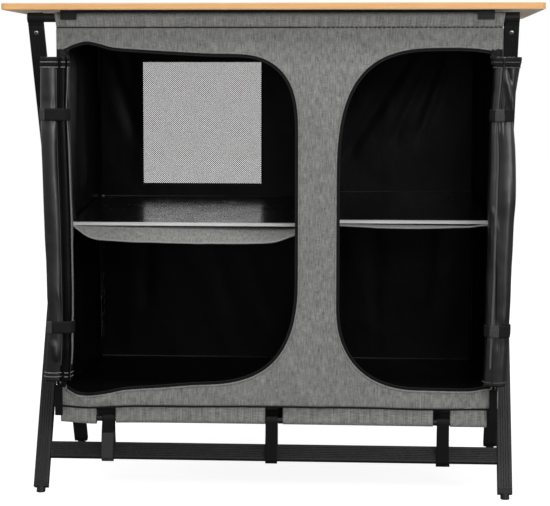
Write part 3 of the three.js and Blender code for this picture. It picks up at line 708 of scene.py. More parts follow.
def rounded_corner(width, height, power, steps=26):
    """Points (dx, dz) of a quarter of a superellipse, from its side to its top."""
    points = []
    for i in range(steps + 1):
        angle = math.pi / 2 * i / steps
        across = max(0.0, math.cos(angle)) ** (2 / power)
        up = max(0.0, math.sin(angle)) ** (2 / power)
        points.append((width * across, height * up))
    return points


def doorway_line(side, inner, upper, lower, lift, dip):
    """Points (x, z) round an opening, from its outer bottom corner by the middle to the top."""
    outer = CLOTH_LEFT + OPENING_BORDER if side < 0 else CLOTH_RIGHT - OPENING_BORDER
    points = [(outer, OPENING_BOTTOM)]
    for dx, dz in reversed(rounded_corner(*lower)):
        points.append((inner + side * (lower[0] - dx), OPENING_BOTTOM + lower[1] - dz))
    for dx, dz in rounded_corner(*upper):
        points.append((inner + side * (upper[0] - dx), OPENING_TOP - upper[1] + dz))
    points.append((outer, OPENING_TOP))
    centre = (OPENING_TOP + OPENING_BOTTOM) / 2
    moved = []
    for x, z in even_spacing(points, 0.005):
        weight = smooth_step(abs(z - centre) / (OPENING_TOP - centre) * 3 - 2)
        moved.append(Vector((x, z + weight * through(lift if z > centre else dip, x))))
    return moved


def grown(points, by):
    """The line moved sideways by a distance, away from the opening's middle."""
    centre = sum(points, Vector((0, 0))) / len(points)
    result = []
    for i, point in enumerate(points):
        along = (points[min(len(points) - 1, i + 1)] - points[max(0, i - 1)]).normalized()
        normal = Vector((along.y, -along.x))
        if normal.dot(point - centre) < 0:
            normal = -normal
        result.append(point + by * normal)
    return result


# %% [markdown]
# A row below gives a place across the cupboard and how far the doorway's edge lies above or below
# its plain line there. A corner's row gives its width, its height and its power.

# %% Measured doorways
LEFT_LIFT = [(-0.346, -0.002), (-0.332, 0.005), (-0.308, 0.012), (-0.288, 0.009), (-0.264, 0.0025)]
LEFT_LIFT += [(-0.215, -0.0015), (-0.156, -0.005), (-0.083, -0.008), (-0.011, -0.0025), (0.044, 0)]
LEFT_DIP = [(-0.346, -0.0045), (-0.332, -0.0125), (-0.319, -0.0160), (-0.306, -0.0165)]
LEFT_DIP += [(-0.277, -0.0125), (-0.250, -0.0065), (-0.218, -0.0035), (-0.185, -0.0012)]
LEFT_DIP += [(-0.119, 0.0042), (-0.050, 0.0040), (0.0, 0.002)]
RIGHT_LIFT = [(0.2, 0), (0.286, 0.0016), (0.325, 0.001), (0.353, -0.002), (0.37, -0.006)]
RIGHT_DIP = [(0.2, 0), (0.299, -0.0015), (0.334, -0.001), (0.358, 0.0035)]
DOORWAYS = {
    "left": doorway_line(-1, 0.045, (0.152, 0.147, 2.9), (0.17, 0.19, 2.6), LEFT_LIFT, LEFT_DIP),
    "right": doorway_line(1, 0.108, (0.168, 0.225, 2.9), (0.136, 0.14, 2.3), RIGHT_LIFT, RIGHT_DIP),
}
print("doorway points", {word: len(line) for word, line in DOORWAYS.items()})

# %% [markdown]
# A hole could be made with a boolean, but that leaves long thin faces. Here the faces that lie
# inside an outline are deleted, and the points left at the edge are drawn onto the line.


# %% Cut a sheet along an outline
def inside(point, outline):
    """True within a closed outline, by counting the edges on one side of the point."""
    x, z = point
    found = False
    for a, b in zip(outline, outline[1:] + outline[:1]):
        if (a.y > z) != (b.y > z) and x < (b.x - a.x) * (z - a.y) / (b.y - a.y) + a.x:
            found = not found
    return found


def nearest_on(point, outline):
    best, place = 1e9, None
    for a, b in zip(outline, outline[1:] + outline[:1]):
        along = b - a
        t = max(0.0, min(1.0, (point - a).dot(along) / max(1e-12, along.length_squared)))
        distance = (a + t * along - point).length
        if distance < best:
            best, place = distance, a + t * along
    return place


def cut_openings(bm, outlines):
    within = {}
    for outline in outlines:
        lows = Vector((min(p.x for p in outline), min(p.y for p in outline)))
        highs = Vector((max(p.x for p in outline), max(p.y for p in outline)))
        for vert in bm.verts:
            x, z = vert.co.x, vert.co.z
            if lows.x <= x <= highs.x and lows.y <= z <= highs.y and inside((x, z), outline):
                within[vert] = outline
    gone = [face for face in bm.faces if all(vert in within for vert in face.verts)]
    bmesh.ops.delete(bm, geom=gone, context="FACES")
    rim = [vert for vert in bm.verts if vert in within]
    for vert in rim:
        place = nearest_on(Vector((vert.co.x, vert.co.z)), within[vert])
        vert.co.x, vert.co.z = place.x, place.y
    return rim


# %% [markdown]
# A raw edge would fray, so the maker turns it under and sews it to the zip's tape. The same is done
# here: the doorway's edge is extruded to the back, and then outwards behind the cloth.

# %% Turn an edge under
TURNED_EDGE = 0.012
TURNED_GAP = 0.0018


def turn_under(bm, rim, lines, relief):
    sides = [line[0].x for line in lines]
    loose = {v for v in rim if min(abs(v.co.x - side) for side in sides) > 1e-4}
    edges = [e for e in bm.edges if e.is_boundary and all(v in loose for v in e.verts)]
    for step in ("back", "outwards"):
        made = bmesh.ops.extrude_edge_only(bm, edges=edges)["geom"]
        verts = {part for part in made if isinstance(part, bmesh.types.BMVert)}
        edges = [part for part in made if isinstance(part, bmesh.types.BMEdge)]
        edges = [edge for edge in edges if all(vert in verts for vert in edge.verts)]
        for vert in verts:
            spot = Vector((vert.co.x, vert.co.z))
            line = min(lines, key=lambda line: (nearest_on(spot, line) - spot).length)
            if step == "outwards":
                vert.co.x, vert.co.z = nearest_on(spot, grown(line, TURNED_EDGE))
            vert.co.y = FRONT + CLOTH / 2 + relief(vert.co.x, vert.co.z) + TURNED_GAP
    print("turned under", len(edges), "edges")


# %% [markdown]
# The front panel is one piece of heather cloth with both doorways in it. It is stretched between
# the top rail and the hem rod, and it creases where a seam pulls. Its lower edge waves by a
# millimetre or more.

# %% Creases of the front panel
PANEL_STEP = 0.0045
HEM_WAVE = [(-0.354, -0.0014), (-0.311, -0.0042), (-0.262, -0.0019), (-0.226, -0.0004)]
HEM_WAVE += [(-0.12, 0), (-0.01, 0.0014), (0.133, 0.0016), (0.266, 0), (0.357, 0.0012)]
PANEL_FOLDS = [
    (0.259, 0.779, 0.235, 0.750, 0.006, -0.0020),
    (0.300, 0.779, 0.272, 0.752, 0.006, -0.0018),
    (0.330, 0.779, 0.305, 0.752, 0.006, -0.0020),
    (-0.318, 0.780, -0.306, 0.764, 0.006, -0.0018),
    (0.066, 0.470, 0.092, 0.590, 0.011, -0.0030),
    (0.048, 0.180, 0.090, 0.150, 0.010, -0.0026),
    (-0.304, 0.152, -0.333, 0.172, 0.0045, -0.0042),
    (-0.299, 0.152, -0.309, 0.166, 0.0035, 0.0012),
    (-0.294, 0.154, -0.270, 0.166, 0.0045, -0.0040),
    (-0.094, 0.186, -0.075, 0.160, 0.008, -0.0020),
    (-0.020, 0.300, 0.030, 0.200, 0.016, -0.0024),
    (0.055, 0.700, 0.080, 0.620, 0.016, -0.0022),
]


def hem_line(x):
    return HEM + through(HEM_WAVE, x)


def panel_relief(x, z):
    soft = 0.0020 * soft_noise(x * 7, z * 5, seed=3.1) + 0.0007 * soft_noise(x * 24, z * 9, seed=8)
    return smooth_step((SEAM - z) / 0.03) * soft + creases(x, z, PANEL_FOLDS)


# %% [markdown]
# A grid is cut along both doorways, and then it takes its creases. The narrow strips outside the
# doorways are zip tape, so their faces take a second material.


# %% Front panel
def front_panel():
    width, height = CLOTH_RIGHT - CLOTH_LEFT, SEAM - HEM

    def place(u, v):
        x = CLOTH_LEFT + u * width
        return Vector((x, FRONT + CLOTH / 2, mix(hem_line(x) - 0.001, SEAM, v)))

    columns, rows = round(width / PANEL_STEP), round(height / PANEL_STEP)
    bm = shaped_grid(columns, rows, (width, height), place)
    rim = cut_openings(bm, DOORWAYS.values())
    for vert in bm.verts:
        vert.co.y += panel_relief(vert.co.x, vert.co.z)
    turn_under(bm, rim, list(DOORWAYS.values()), panel_relief)
    set_uv(bm, lambda p: (p.x - CLOTH_LEFT, p.z - HEM))
    for face in bm.faces:
        spot = face.calc_center_median()
        strip = not CLOTH_LEFT + OPENING_BORDER < spot.x < CLOTH_RIGHT - OPENING_BORDER
        face.material_index = int(strip and OPENING_BOTTOM < spot.z < OPENING_TOP)
    piece = finish_piece("front_cloth_panel", bm, [GREY_CLOTH, TAPE], "front_cloth")
    thicken(piece, CLOTH, 0.0, LINING)
    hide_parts("front_panel")


front_panel()

# %% [markdown]
# Along the top of both panels the cloth is sewn into a sleeve round the rail, and at the bottom
# into flaps round the hem rod. A tube would be round all the way, but a sleeve runs straight from
# the bar to its seam, so its section is an arc and two tangents, run along the bar.


# %% Sleeves round a bar
def loop_round(bar, radius, tip, count=28, run=5):
    """Points (y, z) from a seam round a bar and back to the seam."""
    away = math.atan2(tip[1] - bar[1], tip[0] - bar[0])
    free = math.acos(min(1.0, radius / math.dist(bar, tip)))
    arc = []
    for i in range(count + 1):
        angle = mix(away + free, away + 2 * math.pi - free, i / count)
        arc.append((bar[0] + radius * math.cos(angle), bar[1] + radius * math.sin(angle)))
    lead = [between(tip, arc[0], i / run) for i in range(run)]
    tail = [between(arc[-1], tip, i / run) for i in range(1, run + 1)]
    return lead + arc + tail


def loop_sheet(name, section, ends, move, body, spread=0.0):
    """A section run along x. move(x, z, far) gives a point's shift out and up."""
    tip = section[0]
    reach = max(math.dist(tip, point) for point in section)
    length = run_length(section)

    def place(u, v):
        spot = v * (len(section) - 1)
        i = min(int(spot), len(section) - 2)
        y, z = between(section[i], section[i + 1], spot - i)
        far = math.dist(tip, (y, z)) / reach
        x = mix(ends[0] - spread * far, ends[1] + spread * far, u)
        out, up = move(x, z, far)
        return Vector((x, y + out, z + up))

    columns = round((ends[1] - ends[0]) / PANEL_STEP)
    bm = shaped_grid(columns, len(section) - 1, (ends[1] - ends[0], length), place)
    piece = finish_piece(name, bm, GREY_CLOTH, body)
    thicken(piece, CLOTH * 0.9)
    return piece


def sleeve_pleats(x, z, far):
    pleat = 0.0009 * soft_noise(x * 70, z * 8, seed=5.5) + 0.0006 * soft_noise(x * 190, z * 12)
    return pleat * math.sin(math.pi * min(1.0, 1.3 * far)), 0.0


# %% [markdown]
# The frames cross, so the front sleeve holds the top rail of the rear frame, and the rear sleeve
# holds the front frame's. Each sleeve is a little wider at its top than at its seam.

# %% Rail sleeves
SLEEVE_GAP = 0.0010
SLEEVE_SPREAD = 0.004
FRONT_ENDS, BACK_ENDS = (CLOTH_LEFT, CLOTH_RIGHT), (BACK_LEFT, BACK_RIGHT)


def rail_sleeve(name, rail, seam_y, ends, body):
    section = loop_round((rail[1], rail[2]), RAIL_RADIUS + SLEEVE_GAP, (seam_y, SEAM))
    loop_sheet(name, section, ends, sleeve_pleats, body, SLEEVE_SPREAD)


rail_sleeve("front_rail_sleeve", FRONT_RAIL, FRONT + CLOTH / 2, FRONT_ENDS, "front_cloth")
rail_sleeve("rear_rail_sleeve", REAR_RAIL, BACK - CLOTH / 2, BACK_ENDS, "body")

# %% [markdown]
# The sleeve's seam is sewn with dark thread. At the left the rows of stitches have pulled in to one
# dark groove, and at the right single dashes show, so a cord and a row of small blocks make it.
# One short upright row of light stitches closes the sleeve itself.

# %% Seam threads
SEAM_CHANGE = 0.060
SLEEVE_JOIN = -0.108


def seam_threads(name, points, radius, made=THREAD, body="front_cloth"):
    finish_piece(name, cord_mesh(points, radius), made, body)


def along_front(x0, x1, height, out, count=90):
    spots = [mix(x0, x1, i / count) for i in range(count + 1)]
    return [Vector((x, FRONT + panel_relief(x, height(x)) - out, height(x))) for x in spots]


def seam_height(x):
    return SEAM - 0.0005


seam_threads("rail_seam_left", along_front(CLOTH_LEFT, SEAM_CHANGE, seam_height, 0.0), 0.0011)
DASHES = along_front(SEAM_CHANGE, CLOTH_RIGHT, seam_height, 0.0002)
DASH_MESH = stitch_mesh([DASHES[0], DASHES[-1]], 0.0075, 0.0050, 0.0014)
finish_piece("rail_seam_right", DASH_MESH, THREAD, "front_cloth")
JOIN_LINE = [
    (SLEEVE_JOIN, FRONT - 0.0012, SEAM + 0.002),
    (SLEEVE_JOIN + 0.001, FRONT - 0.0014, SEAM + 0.018),
]
JOIN_MESH = stitch_mesh(JOIN_LINE, 0.004, 0.0026, 0.0009)
finish_piece("sleeve_join", JOIN_MESH, PIPING, "front_cloth")

# %% [markdown]
# The back wall shows its coated side through the doorways. It hangs from the rear rail, and the
# light draws only soft vertical streaks on it, so its folds are shallow. A square hole is cut for
# the net window.

# %% Back wall
BACK_STEP = 0.0055
WINDOW_LEFT, WINDOW_RIGHT = low("window_net")[0] + 0.0085, high("window_net")[0] - 0.0135
WINDOW_BOTTOM, WINDOW_TOP = low("window_net")[2] + 0.007, high("window_net")[2] - 0.0090
BACK_FOLDS = [
    (-0.330, 0.735, -0.284, 0.600, 0.013, 0.0026),
    (-0.300, 0.760, -0.290, 0.690, 0.010, 0.0014),
    (-0.262, 0.400, -0.266, 0.270, 0.016, 0.0016),
    (-0.090, 0.410, -0.030, 0.255, 0.014, 0.0016),
    (-0.140, 0.400, -0.105, 0.270, 0.013, 0.0012),
    (0.235, 0.745, 0.112, 0.550, 0.013, 0.0022),
    (0.270, 0.725, 0.196, 0.570, 0.011, 0.0016),
    (0.308, 0.745, 0.256, 0.600, 0.011, 0.0020),
    (0.166, 0.420, 0.174, 0.260, 0.016, 0.0015),
    (0.294, 0.420, 0.286, 0.270, 0.014, 0.0015),
]


def back_relief(x, z):
    wide = 0.0018 * soft_noise(x * 9, z * 3, seed=1.3)
    soft = wide + 0.0004 * soft_noise(x * 30, z * 10, seed=2.2)
    edge = smooth_step((SEAM - z) / 0.04) * smooth_step((z - HEM) / 0.04)
    away = max(WINDOW_LEFT - x, x - WINDOW_RIGHT, WINDOW_BOTTOM - z, z - WINDOW_TOP, 0.0)
    return edge * min(1.0, away / 0.02) * (abs(soft) + creases(x, z, BACK_FOLDS))


def back_wall():
    width, height = BACK_RIGHT - BACK_LEFT, SEAM - HEM

    def place(u, v):
        return Vector((BACK_LEFT + u * width, BACK - CLOTH / 2, HEM + v * height))

    columns, rows = round(width / BACK_STEP), round(height / BACK_STEP)
    bm = shaped_grid(columns, rows, (width, height), place)
    corners = [(WINDOW_LEFT, WINDOW_BOTTOM), (WINDOW_RIGHT, WINDOW_BOTTOM)]
    corners += [(WINDOW_RIGHT, WINDOW_TOP), (WINDOW_LEFT, WINDOW_TOP)]
    rim = cut_openings(bm, [[Vector(p) for p in even_spacing([*corners, corners[0]], 0.006)]])
    for x, z in corners:
        nearest = min(rim, key=lambda vert: math.hypot(vert.co.x - x, vert.co.z - z))
        nearest.co.x, nearest.co.z = x, z
    for vert in bm.verts:
        vert.co.y += back_relief(vert.co.x, vert.co.z)
    piece = finish_piece("back_wall", bm, LINING, "body")
    thicken(piece, CLOTH, 0.0, GREY_CLOTH)
    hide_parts("back_panel")


back_wall()

# %% [markdown]
# The net window is sewn over the back wall's hole from outside. It laps over the hole's edge by a
# few millimetres, and it is slightly slack.

# %% Net window
NET_LAP = 0.005


def window():
    width = WINDOW_RIGHT - WINDOW_LEFT + 2 * NET_LAP
    height = WINDOW_TOP - WINDOW_BOTTOM + 2 * NET_LAP
    face = BACK + 0.0006

    def place(u, v):
        x = WINDOW_LEFT - NET_LAP + u * width
        z = WINDOW_BOTTOM - NET_LAP + v * height
        slack = 0.0012 * math.sin(math.pi * u) * math.sin(math.pi * v)
        return Vector((x, face + slack * soft_noise(x * 14, z * 14, seed=9.0), z))

    bm = shaped_grid(40, 40, (width, height), place)
    piece = finish_piece("net_window", bm, NET, "body")
    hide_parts("window_net")


window()

# %% [markdown]
# The side walls and the divider hang between the two panels. When the frames fold, the front panel
# moves to the back one. They are slack and fall in upright pleats, and the flat sheet is longer than
# the cupboard is deep by what the pleats take.


def wall_relief(y, z, seed):
    soft = 0.0040 * abs(soft_noise(y * 9, z * 3, seed=seed))
    pleat = 0.5 + 0.5 * math.sin(y * 42 + 3 * soft_noise(z * 3, seed=seed))
    return soft + 0.0015 * soft_noise(y * 26, z * 9, seed=seed) + 0.004 * pleat


def wall(name, node, x_front, x_back, z0, outwards, outside, seed):
    y0, y1 = FRONT + CLOTH, BACK - CLOTH
    top = high(node)[2]

    def place(u, v):
        y, z = mix(y0, y1, u), mix(z0, top, v)
        held = math.sin(math.pi * u) ** 0.7 * math.sin(math.pi * v) ** 0.6
        x = mix(x_front, x_back, u) + held * outwards * wall_relief(y, z, seed)
        return Vector((x, y, z))

    bm = shaped_grid(80, 110, (y1 - y0, top - z0), place)
    if outwards < 0:
        bmesh.ops.reverse_faces(bm, faces=bm.faces)
    piece = finish_piece(name, bm, outside, None)
    thicken(piece, CLOTH, 0.0, LINING)
    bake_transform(piece)
    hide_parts(node)


wall("left_wall", "left_side_wall", CLOTH_LEFT, BACK_LEFT, HEM, -1, GREY_CLOTH, 4.0)
wall("right_wall", "right_side_wall", CLOTH_RIGHT, BACK_RIGHT, HEM, 1, GREY_CLOTH, 6.0)
DIVIDER = middle("divider_wall")[0]
wall("middle_wall", "divider_wall", DIVIDER, DIVIDER, FLOOR, 1, LINING, 7.0)

# %% [markdown]
# The floor is a stiffer, doubled cloth between the same two panels.

# %% Floor
FLOOR_THICKNESS = 0.0036


def floor_relief(x, y):
    wide = abs(soft_noise(x * 8, y * 8, seed=12.0))
    return 0.0016 * wide + 0.0003 * soft_noise(x * 30, y * 30, seed=2.0)


def floor():
    y0, y1 = FRONT + CLOTH, BACK - CLOTH
    width = CLOTH_RIGHT - CLOTH_LEFT

    def place(u, v):
        x0, x1 = mix(CLOTH_LEFT, BACK_LEFT, v) + 0.001, mix(CLOTH_RIGHT, BACK_RIGHT, v) - 0.001
        x, y = mix(x0, x1, u), mix(y0, y1, v)
        held = math.sin(math.pi * u) * math.sin(math.pi * v)
        return Vector((x, y, FLOOR - 0.002 - held * floor_relief(x, y)))

    bm = shaped_grid(140, 70, (width, y1 - y0), place)
    piece = finish_piece("floor_cloth", bm, LINING, None)
    thicken(piece, FLOOR_THICKNESS, 0.0, GREY_CLOTH)
    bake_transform(piece)
    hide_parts("floor_panel")


floor()

# %% [markdown]
# The floor's seam with the back wall is a light line. The back corner beside it is sewn with light
# stitches, and its lower part is bound with a crumpled strip of film that catches the light.

# %% Floor seam and back corner
BINDING_Y = BACK - 0.004
SEAM_Z = FLOOR + 0.0006
CORNER_LOW, BINDING_TOP, STITCHES_TOP = 0.205, 0.335, 0.420
FLOOR_SEAM = [(BACK_LEFT + 0.004, BINDING_Y, SEAM_Z), (BACK_RIGHT - 0.004, BINDING_Y, SEAM_Z)]
seam_threads("floor_seam", FLOOR_SEAM, 0.0010, DULL_PIPING, "body")
CORNER_SEAM = [(BACK_LEFT + 0.006, BINDING_Y, z) for z in (CORNER_LOW, STITCHES_TOP)]
CORNER_MESH = stitch_mesh(CORNER_SEAM, 0.0062, 0.0026, 0.0011)
finish_piece("corner_stitches", CORNER_MESH, PIPING, "body")


def corner_binding(z0, z1):
    def place(u, v):
        crumple = 0.0022 * soft_noise(u * 2.5, v * 22, seed=41.0)
        x = BACK_LEFT + 0.0035 + 0.0075 * u - abs(crumple)
        return Vector((x, BACK - 0.0135 + 0.0075 * u + abs(crumple), mix(z0, z1, v)))

    bm = shaped_grid(10, 60, (0.011, z1 - z0), place)
    thicken(finish_piece("corner_binding", bm, DOOR_FILM, "body"), 0.0008)


corner_binding(CORNER_LOW, BINDING_TOP)

# %% [markdown]
# Under each shelf hangs a sling of heather cloth. It passes below the board's bright channel and ends
# in a lip in front of it, sewn to the walls at both ends. The lip's lower edge is measured: a row
# gives a place across the cupboard and the edge's height there.

# %% Shelf slings
SLING_SAG, SLING_RIPPLE = 0.010, 0.0014
HEM_CORD_RADIUS = 0.0014
LEFT_HEM = [(-0.342, 0.4540), (-0.311, 0.4320), (-0.277, 0.4271), (-0.191, 0.4243)]
LEFT_HEM += [(-0.123, 0.4231), (-0.001, 0.4257), (0.031, 0.4361), (0.070, 0.4480)]
RIGHT_HEM = [(0.080, 0.4540), (0.130, 0.4518), (0.214, 0.4489), (0.298, 0.4503), (0.364, 0.4550)]


def sling(word, hem_y, hem, recess, curl, seed):
    node = f"{word}_shelf_sling"
    edge = low(f"{word}_shelf_edge")
    x0, x1, y1 = low(node)[0], high(node)[0], high(node)[1]
    back_z = high(f"{word}_shelf")[2] - 0.0075

    def place(u, v):
        x = mix(x0, x1, u)
        y = mix(hem_y, y1, v * v)
        ends = smooth_step(min(u, 1 - u) / 0.05)
        turn_y = edge[1] + mix(0.002, recess, u)
        front_z = edge[2] - mix(0.0015, 0.0040, u)
        if y < turn_y:
            t = (y - hem_y) / (turn_y - hem_y)
            z = mix(through(hem, x), front_z, t**curl)
        else:
            t = (y - turn_y) / (y1 - turn_y)
            z = mix(front_z, back_z, t) - SLING_SAG * ends * math.sin(math.pi * t)
        ripple = SLING_RIPPLE * ends * soft_noise(x * 22, y * 9, seed=seed)
        ripple *= smooth_step((0.4 - v) / 0.4)
        return Vector((x, y, z + ripple - abs(ripple)))

    bm = shaped_grid(110, 64, (x1 - x0, y1 - hem_y), place)
    set_uv(bm, lambda p: (p.x, p.y + p.z))
    piece = finish_piece(f"{word}_sling", bm, GREY_CLOTH, None)
    thicken(piece, CLOTH)
    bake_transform(piece)
    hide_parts(node)
    edge_line = [place(i / 80, 0.0) + Vector((0, -0.0004, 0)) for i in range(81)]
    cord_bm = cord_mesh(edge_line, HEM_CORD_RADIUS)
    cord = finish_piece(f"{word}_sling_hem", cord_bm, HEM_CORD, None)
    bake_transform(cord)


sling("left", low("left_shelf_sling")[1] + 0.003, LEFT_HEM, 0.0220, 0.8, 15.0)
sling("right", low("right_shelf_sling")[1] + 0.001, RIGHT_HEM, 0.005, 1.6, 19.0)

# %% [markdown]
# Each shelf turns on a thin pin at its back edge. A sewn line runs along that edge, and the pin's
# bright end shows at the left corner.

# %% Shelf back edges
for word in ("left", "right"):
    shelf_low, shelf_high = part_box(f"{word}_shelf")
    y, z = shelf_high[1] - 0.0012, shelf_high[2] + 0.0004
    back_line = [(shelf_low[0] + 0.003, y, z), (shelf_high[0] - 0.003, y, z)]
    body = f"{word}_shelf"
    seam_threads(f"{word}_shelf_back_line", back_line, 0.0006, DULL_PIPING, body)
    pin_end = [(shelf_low[0] + 0.004, y - 0.002, z), (shelf_low[0] + 0.0085, y - 0.002, z)]
    finish_piece(f"{word}_shelf_pin", cord_mesh(pin_end, 0.0013), STEEL, body)
    print(word, "shelf's back edge at", round(y, 4), round(z, 4))

# %% [markdown]
# Each door is rolled up to the outer side and held by two ties. The film is wound, so its section
# is a spiral, but it isn't round: it lies in two lobes with a groove between. Each lobe is an
# ellipse, and the outer layer is the farther of both in every direction. A tight band round such a
# shape bridges its hollows, so a second function finds a convex outline.


# %% Lobes and taut outlines
def ellipse_reach(angle, lobe):
    """How far an ellipse (x, y, half width, half depth) reaches from the middle at an angle."""
    x, y, a, b = lobe
    px, py, dx, dy = -x / a, -y / b, math.cos(angle) / a, math.sin(angle) / b
    along, size = px * dx + py * dy, dx * dx + dy * dy
    inner = along * along - size * (px * px + py * py - 1)
    return (math.sqrt(inner) - along) / size if inner > 0 else 0.0


def hull(points):
    """The convex outline of points (a, b), in order."""

    def half(ordered):
        kept = []
        for point in ordered:
            while len(kept) > 1:
                a, b = kept[-2], kept[-1]
                if (b[0] - a[0]) * (point[1] - b[1]) - (b[1] - a[1]) * (point[0] - b[0]) > 0:
                    break
                kept.pop()
            kept.append(point)
        return kept[:-1]

    points = sorted(set(points))
    return half(points) + half(points[::-1])


# %% [markdown]
# A roll's surface is a function of the turn and the height. Bindings and seams that lie on the roll
# ask the same function for their places, so that none of them floats or sinks in.

# %% Roll section
ROLL_TURNS = 2.5
ROLL_HALF_DEPTH = 0.021
TIE_REACH = 0.030
WIDE_FOLD = 0.0020
PLEAT_FREE, PLEAT_AT_TIE = 0.00005, 0.0017
RING_FREE, RING_AT_TIE = 0.0002, 0.0009


class Roll:
    """A rolled door. turn is 0 at its free edge, 1 after one round and ROLL_TURNS at its core."""

    def __init__(self, word, side, start, seed, lobes, width, sway, folds, plain_below):
        self.word, self.side, self.start, self.seed = word, side, start, seed
        self.lobes, self.width, self.sway, self.folds = lobes, width, sway, folds
        self.plain_below = plain_below
        self.low, self.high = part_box(f"{word}_rolled_door")
        self.centre = middle(f"{word}_rolled_door")
        self.ties = [middle(f"{word}_door_{level}_tie")[2] for level in ("upper", "lower")]
        self.full = max(width for z, width in self.width)

    def gather(self, angle, z):
        near = max(math.exp(-(((z - tie) / TIE_REACH) ** 2)) for tie in self.ties)
        x, y = math.cos(angle), math.sin(angle)
        wide = soft_noise(x * 1.3, y * 1.3, z * 9, seed=self.seed)
        pleat = soft_noise(x * 6, y * 6, z * 5, seed=self.seed + 4)
        ring = soft_noise(x * 1.6, y * 1.6, z * 55, seed=self.seed + 9)
        turned = (angle + math.pi) % (2 * math.pi) - math.pi
        fold = creases(turned * ROLL_HALF_DEPTH, z, self.folds)
        short = (PLEAT_FREE + PLEAT_AT_TIE * near) * pleat + (RING_FREE + RING_AT_TIE * near) * ring
        return WIDE_FOLD * wide + short + fold

    def skin(self, angle, z):
        reach = max(ellipse_reach(angle, lobe) for lobe in self.lobes)
        plain = ellipse_reach(angle, (0.0, 0.0, self.full / 2, ROLL_HALF_DEPTH))
        reach = mix(plain, reach, 0.15 + 0.85 * smooth_step((z - self.plain_below) / 0.06 + 1))
        return reach * through(self.width, z) / self.full

    def at(self, angle, radius, z):
        x = self.centre[0] + through(self.sway, z) + radius * math.cos(angle)
        return Vector((x, self.centre[1] + radius * math.sin(angle), z))

    def point(self, turn, z, out=0.0):
        angle = self.start - self.side * 2 * math.pi * turn
        share = 1 - 0.06 * turn if turn < 1 else 0.94 - 0.32 * (turn - 1)
        gather = self.gather(angle, z)
        return self.at(angle, self.skin(angle, z) * share + gather - 0.4 * abs(gather) + out, z)


# %% [markdown]
# The roll's width and its sway were measured at a few heights. Below and above a tie the film
# gathers into short pleats, and a few sharp crumples catch the light.

# %% Measured rolls
LEFT_START, RIGHT_START = -0.42, -2.02
LINE_ANGLE = -1.20
LEFT_LOBES = [(-0.0082, -0.002, 0.0155, 0.0175), (0.0150, 0.001, 0.0087, 0.0165)]
LEFT_WIDTH = [(0.21, 0.0452), (0.245, 0.046), (0.274, 0.0436), (0.29, 0.043), (0.31, 0.0442)]
LEFT_WIDTH += [(0.36, 0.0466), (0.5, 0.0474), (0.6, 0.0474), (0.64, 0.0455), (0.68, 0.0468)]
LEFT_WIDTH += [(0.73, 0.0477)]
LEFT_SWAY = [(0.198, -0.003), (0.274, 0.0016), (0.46, 0.0003), (0.5, -0.0006), (0.64, -0.0037)]
LEFT_SWAY += [(0.73, -0.0026)]
LEFT_FOLDS = [(-0.042, 0.262, -0.036, 0.238, 0.0042, 0.0046)]
LEFT_FOLDS += [(-0.026, 0.30, -0.034, 0.35, 0.003, 0.002)]
RIGHT_LOBES = [(0.0035, -0.002, 0.0193, 0.0175), (-0.0150, 0.001, 0.0081, 0.0150)]
RIGHT_WIDTH = [(0.198, 0.0388), (0.245, 0.0402), (0.29, 0.0388), (0.36, 0.0412), (0.464, 0.0422)]
RIGHT_WIDTH += [(0.504, 0.0458), (0.569, 0.0424), (0.61, 0.0402), (0.642, 0.0360), (0.67, 0.0385)]
RIGHT_WIDTH += [(0.715, 0.0430), (0.73, 0.0462)]
RIGHT_SWAY = [(0.198, -0.0077), (0.298, -0.0047), (0.464, -0.0011), (0.569, -0.0004)]
RIGHT_SWAY += [(0.642, -0.0021), (0.69, 0.0020), (0.73, 0.0054)]
RIGHT_FOLDS = [(-0.0335, 0.700, -0.0180, 0.658, 0.0045, 0.0060)]
RIGHT_FOLDS += [(-0.031, 0.715, -0.024, 0.695, 0.003, -0.0025)]
RIGHT_FOLDS += [(-0.050, 0.488, -0.044, 0.458, 0.0030, 0.0040)]
RIGHT_FOLDS += [(-0.040, 0.30, -0.042, 0.38, 0.004, -0.0022)]
ROLLS = [
    Roll("left", -1, LEFT_START, 21.0, LEFT_LOBES, LEFT_WIDTH, LEFT_SWAY, LEFT_FOLDS, 0.0),
    Roll("right", 1, RIGHT_START, 34.0, RIGHT_LOBES, RIGHT_WIDTH, RIGHT_SWAY, RIGHT_FOLDS, 0.48),
]
LINE_TURN = 1 + (LINE_ANGLE - LEFT_START) / (2 * math.pi)
for one_roll in ROLLS:
    print(one_roll.word, "roll is up to", one_roll.full, "m wide")

# %% [markdown]
# The film is one grid that winds round its core. On the left roll the strip between the inner line and
# the free edge lies in shade, and its faces take the darker, duller lining as painted shade.

# %% Rolled doors
MEAN_RADIUS = 0.017
SHADED_STRIP_END = 1.04
FILM = 0.0010


def rolled_door(roll):
    z0, z1 = roll.low[2], roll.high[2]
    width = ROLL_TURNS * 2 * math.pi * MEAN_RADIUS

    def place(u, v):
        return roll.point(u * ROLL_TURNS, mix(z0, z1, v))

    bm = shaped_grid(200, 210, (width, z1 - z0), place)
    uv = bm.loops.layers.uv["UVMap"]
    # On the left roll the shaded strip takes the darker lining: painted shade.
    for face in bm.faces:
        turn = sum(loop[uv].uv.x for loop in face.loops) / 4 / width * ROLL_TURNS
        face.material_index = int(roll.side < 0 and LINE_TURN < turn < SHADED_STRIP_END)
    made = [DOOR_FILM, LINING]
    piece = finish_piece(f"{roll.word}_door_roll", bm, made, "front_cloth")
    thicken(piece, FILM)
    side = flat_area(piece) / (z1 - z0)
    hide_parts(f"{roll.word}_rolled_door")
    print(roll.word, "roll", round(side, 3), "m of film in", ROLL_TURNS, "turns")


for one_roll in ROLLS:
    rolled_door(one_roll)

# %% [markdown]
# A light binding is sewn along the film's free edge, and two rows of it close each end. The bands
# lie on the roll, so they use the roll's own surface with a small step outwards.

